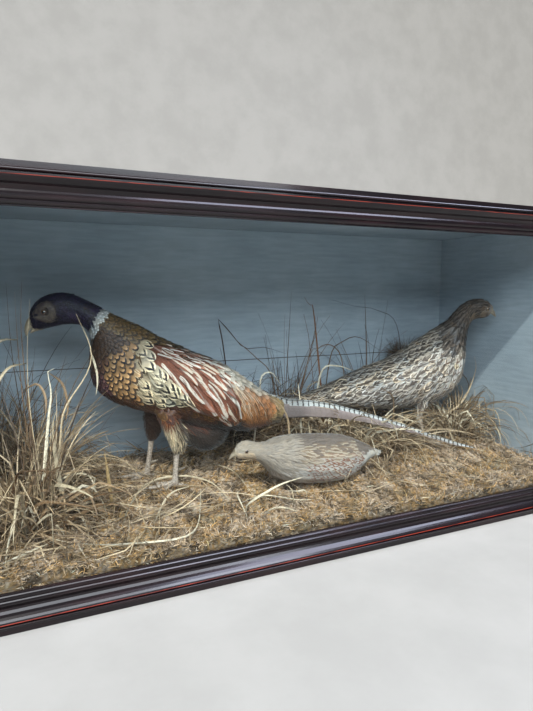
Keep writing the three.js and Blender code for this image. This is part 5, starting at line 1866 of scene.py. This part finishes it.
# The stems and blades that stand out, each upright in one plane: (width, kind, how far back,
# places along it as seen from the front)
STANDING = [
    (2.4, "straw", -65, [(-330, 370), (-312, 320), (-318, 285), (-350, 235), (-358, 190)]),
    (4.5, "pale", -70, [(-373, 215), (-367, 260), (-370, 290), (-362, 294)]),
    (2.0, "brown", -60, [(-345, 310), (-358, 270), (-372, 225), (-380, 180)]),
    (6.0, "pale", -80, [(-365, 165), (-367, 215), (-362, 235)]),
    (1.8, "brown", -40, [(-397, 415), (-401, 335), (-393, 175)]),
    (1.6, "brown", 0, [(-408, 400), (-407, 300), (-401, 180)]),
    (1.6, "straw", -20, [(-388, 390), (-396, 300), (-394, 200)]),
    (1.4, "brown", 60, [(-421, 415), (-418, 300), (-405, 165)]),
    (2.6, "brown", 150, [(-36, 265), (-44, 320), (-50, 346), (-25, 320), (7, 286), (50, 286),
                         (100, 270)]),
    (2.2, "brown", 150, [(-44, 340), (-8, 300), (32, 265), (68, 220)]),
    (5.0, "pale", 50, [(-2, 212), (2, 243), (22, 249), (42, 224)]),
    (4.0, "straw", -15, [(-14, 218), (8, 203), (24, 176), (29, 140)]),
    (5.0, "pale", 90, [(140, 170), (155, 240), (190, 247), (231, 234)]),
    (3.4, "pale", 55, [(153, 200), (178, 225), (215, 200), (240, 130)]),
    (3.4, "pale", 20, [(63, 229), (68, 190), (70, 148)]),
    (3.0, "pale", 0, [(86, 185), (76, 161), (78, 142)]),
    (2.2, "pale", -5, [(118, 195), (158, 165), (196, 92)]),
    (2.4, "straw", 0, [(216, 181), (230, 140), (233, 86)]),
    (4.0, "straw", 0, [(234, 212), (266, 190), (266, 130), (250, 76)]),
    (4.6, "pale", -20, [(386, 124), (402, 104), (418, 76)]),
    (2.0, "brown", 165, [(219, 383), (279, 368), (340, 358), (400, 311)]),
    (2.6, "brown", 140, [(202, 257), (234, 292), (275, 300), (338, 264)]),
    (3.0, "brown", 130, [(135, 240), (170, 283), (205, 283), (229, 239)]),
    (4.0, "russet", 150, [(143, 389), (155, 370), (166, 353)]),
    (2.4, "russet", 150, [(166, 353), (171, 330), (155, 260), (110, 110)]),
    (3.4, "russet", 150, [(142, 353), (150, 323), (157, 286)]),
    (1.8, "brown", 150, [(95, 110), (104, 260), (112, 400)]),
    (3.0, "straw", 60, [(430, 112), (505, 150), (540, 217), (536, 253)]),
    (5.5, "gold", -70, [(-299, 168), (-296, 140), (-293, 105)]),
    (3.4, "pale", -122, [(-95, 74), (-58, 91), (-32, 99), (2, 104)]),
    (2.6, "pale", -122, [(-30, 97), (-19, 85), (-16, 70)]),
    (2.4, "pale", -122, [(-26, 86), (-10, 82), (6, 80)]),
]
# Torn leaves that hang from a stem, each starting on it: (width, kind, places along it)
HANGING = [
    (3.0, "pale", [(-313, -65, 318), (-306, -62, 292), (-304, -60, 270), (-307, -60, 250)]),
    (3.6, "leaf", [(-369, -70, 289), (-352, -66, 272), (-346, -64, 240), (-350, -64, 215)]),
    (4.2, "pale", [(-397, -40, 300), (-420, -52, 296), (-436, -58, 270), (-440, -60, 236)]),
    (3.4, "leaf", [(-401, -40, 262), (-384, -46, 270), (-374, -52, 250), (-376, -54, 220)]),
    (3.8, "pale", [(-407, 0, 330), (-430, -14, 330), (-450, -26, 300), (-455, -30, 262)]),
]
# Blades that lie on the moss, as (width, kind, places seen from above, rise in the middle)
LYING = [
    (2.6, "pale", [(-385, 100), (-350, 130), (-320, 45), (-290, -60)], 14),
    (2.6, "pale", [(-380, 85), (-350, 110), (-335, 15), (-335, -90)], 12),
    (2.4, "straw", [(-385, 110), (-355, -25), (-350, -140)], 6),
    (3.0, "pale", [(-390, 115), (-385, 0), (-355, -130)], 8),
    (3.0, "pale", [(-415, 90), (-390, -85), (-350, -135)], 5),
    (2.4, "straw", [(-380, 105), (-370, -20), (-355, -135)], 10),
    (2.4, "straw", [(-435, 135), (-425, -45), (-430, -165)], 8),
    (2.4, "pale", [(-345, -135), (-290, -160), (-200, -170), (-155, -70), (-140, 0)], 3),
    (3.6, "pale", [(-285, -120), (-260, -60), (-200, 10), (-130, -30), (-110, -105)], 10),
    (2.8, "pale", [(-240, -120), (-205, -70), (-155, -30)], 10),
    (2.8, "pale", [(-435, -155), (-405, -145), (-375, -120)], 4),
    (2.4, "pale", [(-340, -130), (-343, -150), (-337, -175)], 3),
    (2.4, "pale", [(-100, -100), (-55, -95), (-10, -125), (27, -128)], 4),
    (3.0, "pale", [(-80, -145), (-50, -140), (-25, -160)], 3),
    (2.4, "pale", [(-85, -60), (-100, -90), (-105, -145)], 8),
    (2.2, "pale", [(-105, 80), (-75, 20), (-70, -80)], 6),
]


def lone_blade(strips, width, kind, line, ground, rng):
    """One stem or blade along a line, turned roughly to the front and a little twisted."""
    stations = len(line)
    share = np.linspace(0, 1, stations)
    ahead = unit(np.gradient(line, axis=0))
    facing = unit(np.array([rng.normal(0, 0.3), -1, 0.35 + rng.normal(0, 0.2)]))
    level = unit(facing - (ahead @ facing)[:, None] * ahead)
    twist = (rng.uniform(-1.1, 1.1) * (share - 0.5))[:, None]
    normal = level * np.cos(twist) + np.cross(ahead, level) * np.sin(twist)
    half = width / 2 * np.clip(np.minimum(1.1 - share ** 3, 0.35 + 3 * share), 0.12, 1)
    tones = straw_tones(kind, 1, rng)
    strips.add(line[None], normal[None], half[None], 0.0, 0.45, 0.22 * width, unmarked(tones),
               ground.patch(line[:1]))


def rooted(places, ground):
    """The places along a stem, from its root in the moss up to its tip."""
    if places[0][2] > places[-1][2]:
        places.reverse()
    x, y, z = places[0]
    floor = float(ground.at(np.array([x]), np.array([y]))[0]) - 3
    if z < floor + 12:
        return places
    lean = 0.12 * (z - floor) * np.sign(x - places[1][0])
    return [(x + lean, y, floor)] + places


FALLEN = 800  # straws that have fallen on the moss
FALLEN_LEFT = 320  # of these, the ones before and under the left tussocks
STEM_STATIONS = 26
LEAF_STATIONS = 14
LYING_STATIONS = 24


def build_straws(ground):
    """The stems and blades that stand out, and the loose ones that have fallen on the moss."""
    rng = np.random.default_rng(53)
    strips = Strips()
    for width, kind, back, places in STANDING:
        stem = rooted([(x, back, z) for x, z in places], ground)
        lone_blade(strips, width, kind, curve_through(stem, STEM_STATIONS), ground, rng)
    for width, kind, places in HANGING:
        lone_blade(strips, width, kind, curve_through(places, LEAF_STATIONS), ground, rng)
    for width, kind, places, rise in LYING:
        flat = curve_through([(x, y, 0) for x, y in places], LYING_STATIONS)
        arch = np.sin(np.linspace(0, math.pi, LYING_STATIONS)) * rise
        flat[:, 2] = ground.at(flat[:, 0], flat[:, 1]) + 5 + arch
        lone_blade(strips, width, kind, flat, ground, rng)
    count = FALLEN
    x = rng.uniform(ROOM["left"] + 8, ROOM["right"] - 8, count)
    y = rng.uniform(ROOM["front"] + 6, ROOM["back"] - 8, count)
    x[:FALLEN_LEFT] = rng.uniform(ROOM["left"] + 8, -180, FALLEN_LEFT)
    roots = np.stack([x, y, ground.at(x, y) + rng.uniform(3, 9, count)], 1)
    blades(strips, roots, rng.uniform(1.2, 1.6, count), rng.uniform(0, 2 * math.pi, count),
           rng.uniform(25, 140, count), rng.uniform(-0.5, 0.9, count),
           rng.uniform(0.8, 2.2, count), straw_tones("straw", count, rng), ground, rng, 8,
           curl=0.9, kinked=0.15, gap=3.0)
    strips.show("loose_straw", metres, STRAW, "straw")


def build_filling():
    ground = Ground()
    build_ground(ground)
    build_moss(ground)
    build_tussocks(ground)
    build_straws(ground)


# ---- the case -----------------------------------------------------------------------------
def wood(name, dark, light, roughness, coat):
    """Stained and varnished wood, with its grain along X."""
    finish = Finish(name, {"Roughness": roughness, "Coat Weight": coat, "Coat Roughness": 0.12})
    where = finish.stretched(finish.place(), (2.2, 30.0, 30.0))
    streaks = finish.noise(where, 3.0, 6.0, 0.62)
    pores = finish.noise(finish.stretched(finish.place(), (18.0, 420.0, 420.0)), 1.0, 3.0)
    figure = finish.mix(finish.remap(streaks, 0.35, 0.65), dark, light)
    finish.colour(shaded(finish, figure, pores, 0.75, 1.15))
    finish.bump(pores, 0.12, 0.0004)
    return finish.material


WORN_EDGES = (0.015, 0.526)  # heights of the arris on the bottom and the top bar
WORN_SIDE = 0.545  # how far the arris on the side bars is from the middle
WORN_FRONT = -0.207  # the arris is the foremost line of every bar


def moulding():
    """Nearly black mahogany, rubbed through to red along its sharpest edge."""
    finish = Finish("moulding_varnish", {
        "Roughness": 0.24, "Specular IOR Level": 0.25, "Coat Weight": 0.25, "Coat Roughness": 0.1})
    where = finish.place()
    grain = finish.noise(finish.stretched(where, (3.0, 40.0, 40.0)), 3.0, 5.0, 0.6)
    figure = finish.mix(finish.remap(grain, 0.4, 0.7), (0.005, 0.003, 0.004),
                        (0.014, 0.006, 0.007))
    across, depth, height = finish.split(where)
    off_line = finish.gap(finish.math("ABSOLUTE", across), WORN_SIDE)
    for edge in WORN_EDGES:
        off_line = finish.math("MINIMUM", off_line, finish.gap(height, edge))
    off_line = finish.math("MAXIMUM", off_line, finish.gap(depth, WORN_FRONT))
    patchy = finish.noise(finish.stretched(where, (1.0, 8.0, 8.0)), 30.0, 3.0)
    rub = finish.math("MULTIPLY", finish.remap(off_line, 0.0011, 0.0003),
                      finish.remap(patchy, 0.35, 0.6, 0.25, 1.0))
    finish.colour(finish.mix(rub, figure, (0.28, 0.035, 0.02)))
    scratches = finish.noise(finish.stretched(where, (20.0, 300.0, 300.0)), 1.0, 3.0)
    finish.bump(scratches, 0.1, 0.0003)
    return finish.material


SEAM_HEIGHT = 0.256  # of the crack between the two boards behind the birds


def card(name, cracked):
    """Painted card with stains and brush marks, and perhaps a crack where two boards meet."""
    finish = Finish(name, {"Roughness": 0.85})
    stains = finish.noise(finish.place(), 5.0, 6.0, 0.6)
    brush = finish.noise(finish.stretched(finish.place(), (3.0, 3.0, 26.0)), 6.0, 4.0)
    base = finish.mix(finish.remap(stains, 0.35, 0.7), (0.36, 0.43, 0.5), (0.46, 0.53, 0.6))
    worn = shaded(finish, base, brush, 0.9, 1.06)
    if cracked:
        height = finish.split(finish.place())[2]
        waver = finish.math("MULTIPLY_ADD", stains, 0.004, SEAM_HEIGHT - 0.002)
        beside = finish.remap(finish.gap(height, waver), 0.0005, 0.0012)
        worn = finish.mix(beside, (0.07, 0.065, 0.06), worn)
    finish.colour(worn)
    finish.bump(brush, 0.1, 0.001)
    return finish.material


GLASS_INDEX = 1.18  # lower than real glass, since the pane mirrors an empty room


def pane():
    """Clear sheet glass: see-through, with a reflection that grows at glancing angles."""
    finish = Finish("pane", {"Roughness": 0.03})
    nodes, links = finish.nodes, finish.links
    clear = nodes.new("ShaderNodeBsdfTransparent")
    clear.inputs["Color"].default_value = (0.93, 0.955, 0.95, 1)
    gloss = nodes.new("ShaderNodeBsdfGlossy")
    gloss.inputs["Roughness"].default_value = 0.02
    fresnel = nodes.new("ShaderNodeFresnel")
    behind = nodes.new("ShaderNodeNewGeometry").outputs["Backfacing"]
    links.new(finish.remap(behind, 0.0, 1.0, GLASS_INDEX, 1 / GLASS_INDEX),
              fresnel.inputs["IOR"])
    both = nodes.new("ShaderNodeMixShader")
    links.new(fresnel.outputs[0], both.inputs[0])
    links.new(clear.outputs[0], both.inputs[1])
    links.new(gloss.outputs[0], both.inputs[2])
    links.new(both.outputs[0], nodes["Material Output"].inputs["Surface"])
    return finish.material


def dress(prefix, material):
    """Gives the CAD's own pieces whose names start so a material."""
    for name, node in NODES.items():
        if name.startswith(prefix) and not node.hide_render:
            node.data.materials.clear()
            node.data.materials.append(material)


def dress_case():
    dress("case_", wood("case_varnish", (0.012, 0.005, 0.004), (0.036, 0.014, 0.01), 0.5, 0.1))
    dress("case_back", wood("pine", (0.3, 0.2, 0.11), (0.4, 0.28, 0.17), 0.7, 0.0))
    dress("frame_", moulding())
    dress("lining_", card("card", False))
    dress("lining_back", card("backboard", True))
    dress("glass_", pane())


def round_claws():
    """Welds and rounds the CAD's claws and spurs."""
    for prefix in ("cock_claw", "cock_spur"):
        dress(prefix, CLAW)
    for name, node in NODES.items():
        if name.startswith(("cock_claw", "cock_spur")):
            weld = node.modifiers.new("weld", "WELD")
            weld.merge_threshold = WELD
            node.modifiers.new("round", "SUBSURF").render_levels = 2


# ---- stage, light and camera --------------------------------------------------------------
# Places and sizes here are in metres, angles in degrees and the lens in millimetres.
CAMERA = {"at": (-0.383, -0.853, 0.399), "pitch": 83.2, "yaw": -23.6, "lens": 26.835}
SUN = {"towards": (0.42, 1.0, -1.136), "strength": 3.9, "softness": 2.0,
       "colour": (1.0, 0.96, 0.9)}
SOFTBOX = {"at": (-0.5, -2.0, 1.38), "aim": (0.0, 0.0, 0.25), "size": (3.4, 0.9), "watts": 78,
           "colour": (0.88, 0.93, 1.0)}
# A cool panel overhead that lights no diffuse colour, only the gloss of surfaces such as the
# varnish
SHEEN_PANEL = {"at": (1.4, -0.7, 2.1), "aim": (0.3, -0.2, 0.3), "size": (4.6, 1.2), "watts": 230,
               "colour": (0.74, 0.79, 1.0)}
WORLD = {"colour": (0.82, 0.9, 1.0), "strength": 0.2}
SWEEP = {"half_width": 12.0, "near": -9.0, "far": 2.6, "curve": 0.8, "height": 3.5,
         "steps": 13, "drop": 0.0002}


def hang_light(name, kind, strength, colour, towards):
    """A lamp that shines the given way. Its object is returned."""
    light = bpy.data.lights.new(name, kind)
    light.energy = strength
    light.color = colour
    lamp = placed(name, light)
    lamp.rotation_euler = towards.to_track_quat("-Z", "Y").to_euler()
    return lamp


def hang_panel(name, panel):
    at = Vector(panel["at"])
    lamp = hang_light(name, "AREA", panel["watts"], panel["colour"], Vector(panel["aim"]) - at)
    lamp.location = at
    lamp.data.shape = "RECTANGLE"
    lamp.data.size, lamp.data.size_y = panel["size"]
    return lamp


def set_camera():
    lens = bpy.data.cameras.new("camera")
    lens.sensor_width = 36
    lens.lens = CAMERA["lens"]
    lens.clip_start = 0.02
    camera = placed("camera", lens)
    camera.location = CAMERA["at"]
    camera.rotation_euler = (math.radians(CAMERA["pitch"]), 0, math.radians(CAMERA["yaw"]))
    bpy.context.scene.camera = camera


def light_room():
    sun = hang_light("sun", "SUN", SUN["strength"], SUN["colour"], Vector(SUN["towards"]))
    sun.data.angle = math.radians(SUN["softness"])
    hang_panel("softbox", SOFTBOX)
    hang_panel("sheen_panel", SHEEN_PANEL).visible_diffuse = False
    world = bpy.data.worlds.new("room")
    world.use_nodes = True
    background = world.node_tree.nodes["Background"]
    background.inputs["Color"].default_value = (*WORLD["colour"], 1)
    background.inputs["Strength"].default_value = WORLD["strength"]
    bpy.context.scene.world = world
    bpy.context.scene.view_settings.view_transform = "Standard"


def lay_sweep():
    """A sheet of paper under the case that curves up behind it."""
    bend = np.linspace(0, math.pi / 2, SWEEP["steps"])
    curve, far, half = SWEEP["curve"], SWEEP["far"], [SWEEP["half_width"], 0, 0]
    depth = np.concatenate([[SWEEP["near"]], far - curve + curve * np.sin(bend), [far]])
    rise = np.concatenate([[0], curve - curve * np.cos(bend), [SWEEP["height"]]])
    rows = np.stack([np.zeros_like(depth), depth, rise + cad_low.z - SWEEP["drop"]], 1)
    points = np.stack([rows - half, rows + half], 1).reshape(-1, 3)
    first = 2 * np.arange(len(rows) - 1)[:, None]
    sweep = placed("sweep", mesh_of("sweep", points, first + [0, 1, 3, 2], []))
    sweep.data.materials.append(
        tinted("paper", (0.36, 0.36, 0.35), (0.4, 0.4, 0.39), 6.0, 0.9, bump=0.1, depth=0.0006))


build_cock()
build_hen()
build_partridge()
build_filling()
dress_case()
round_claws()
set_camera()
light_room()
lay_sweep()
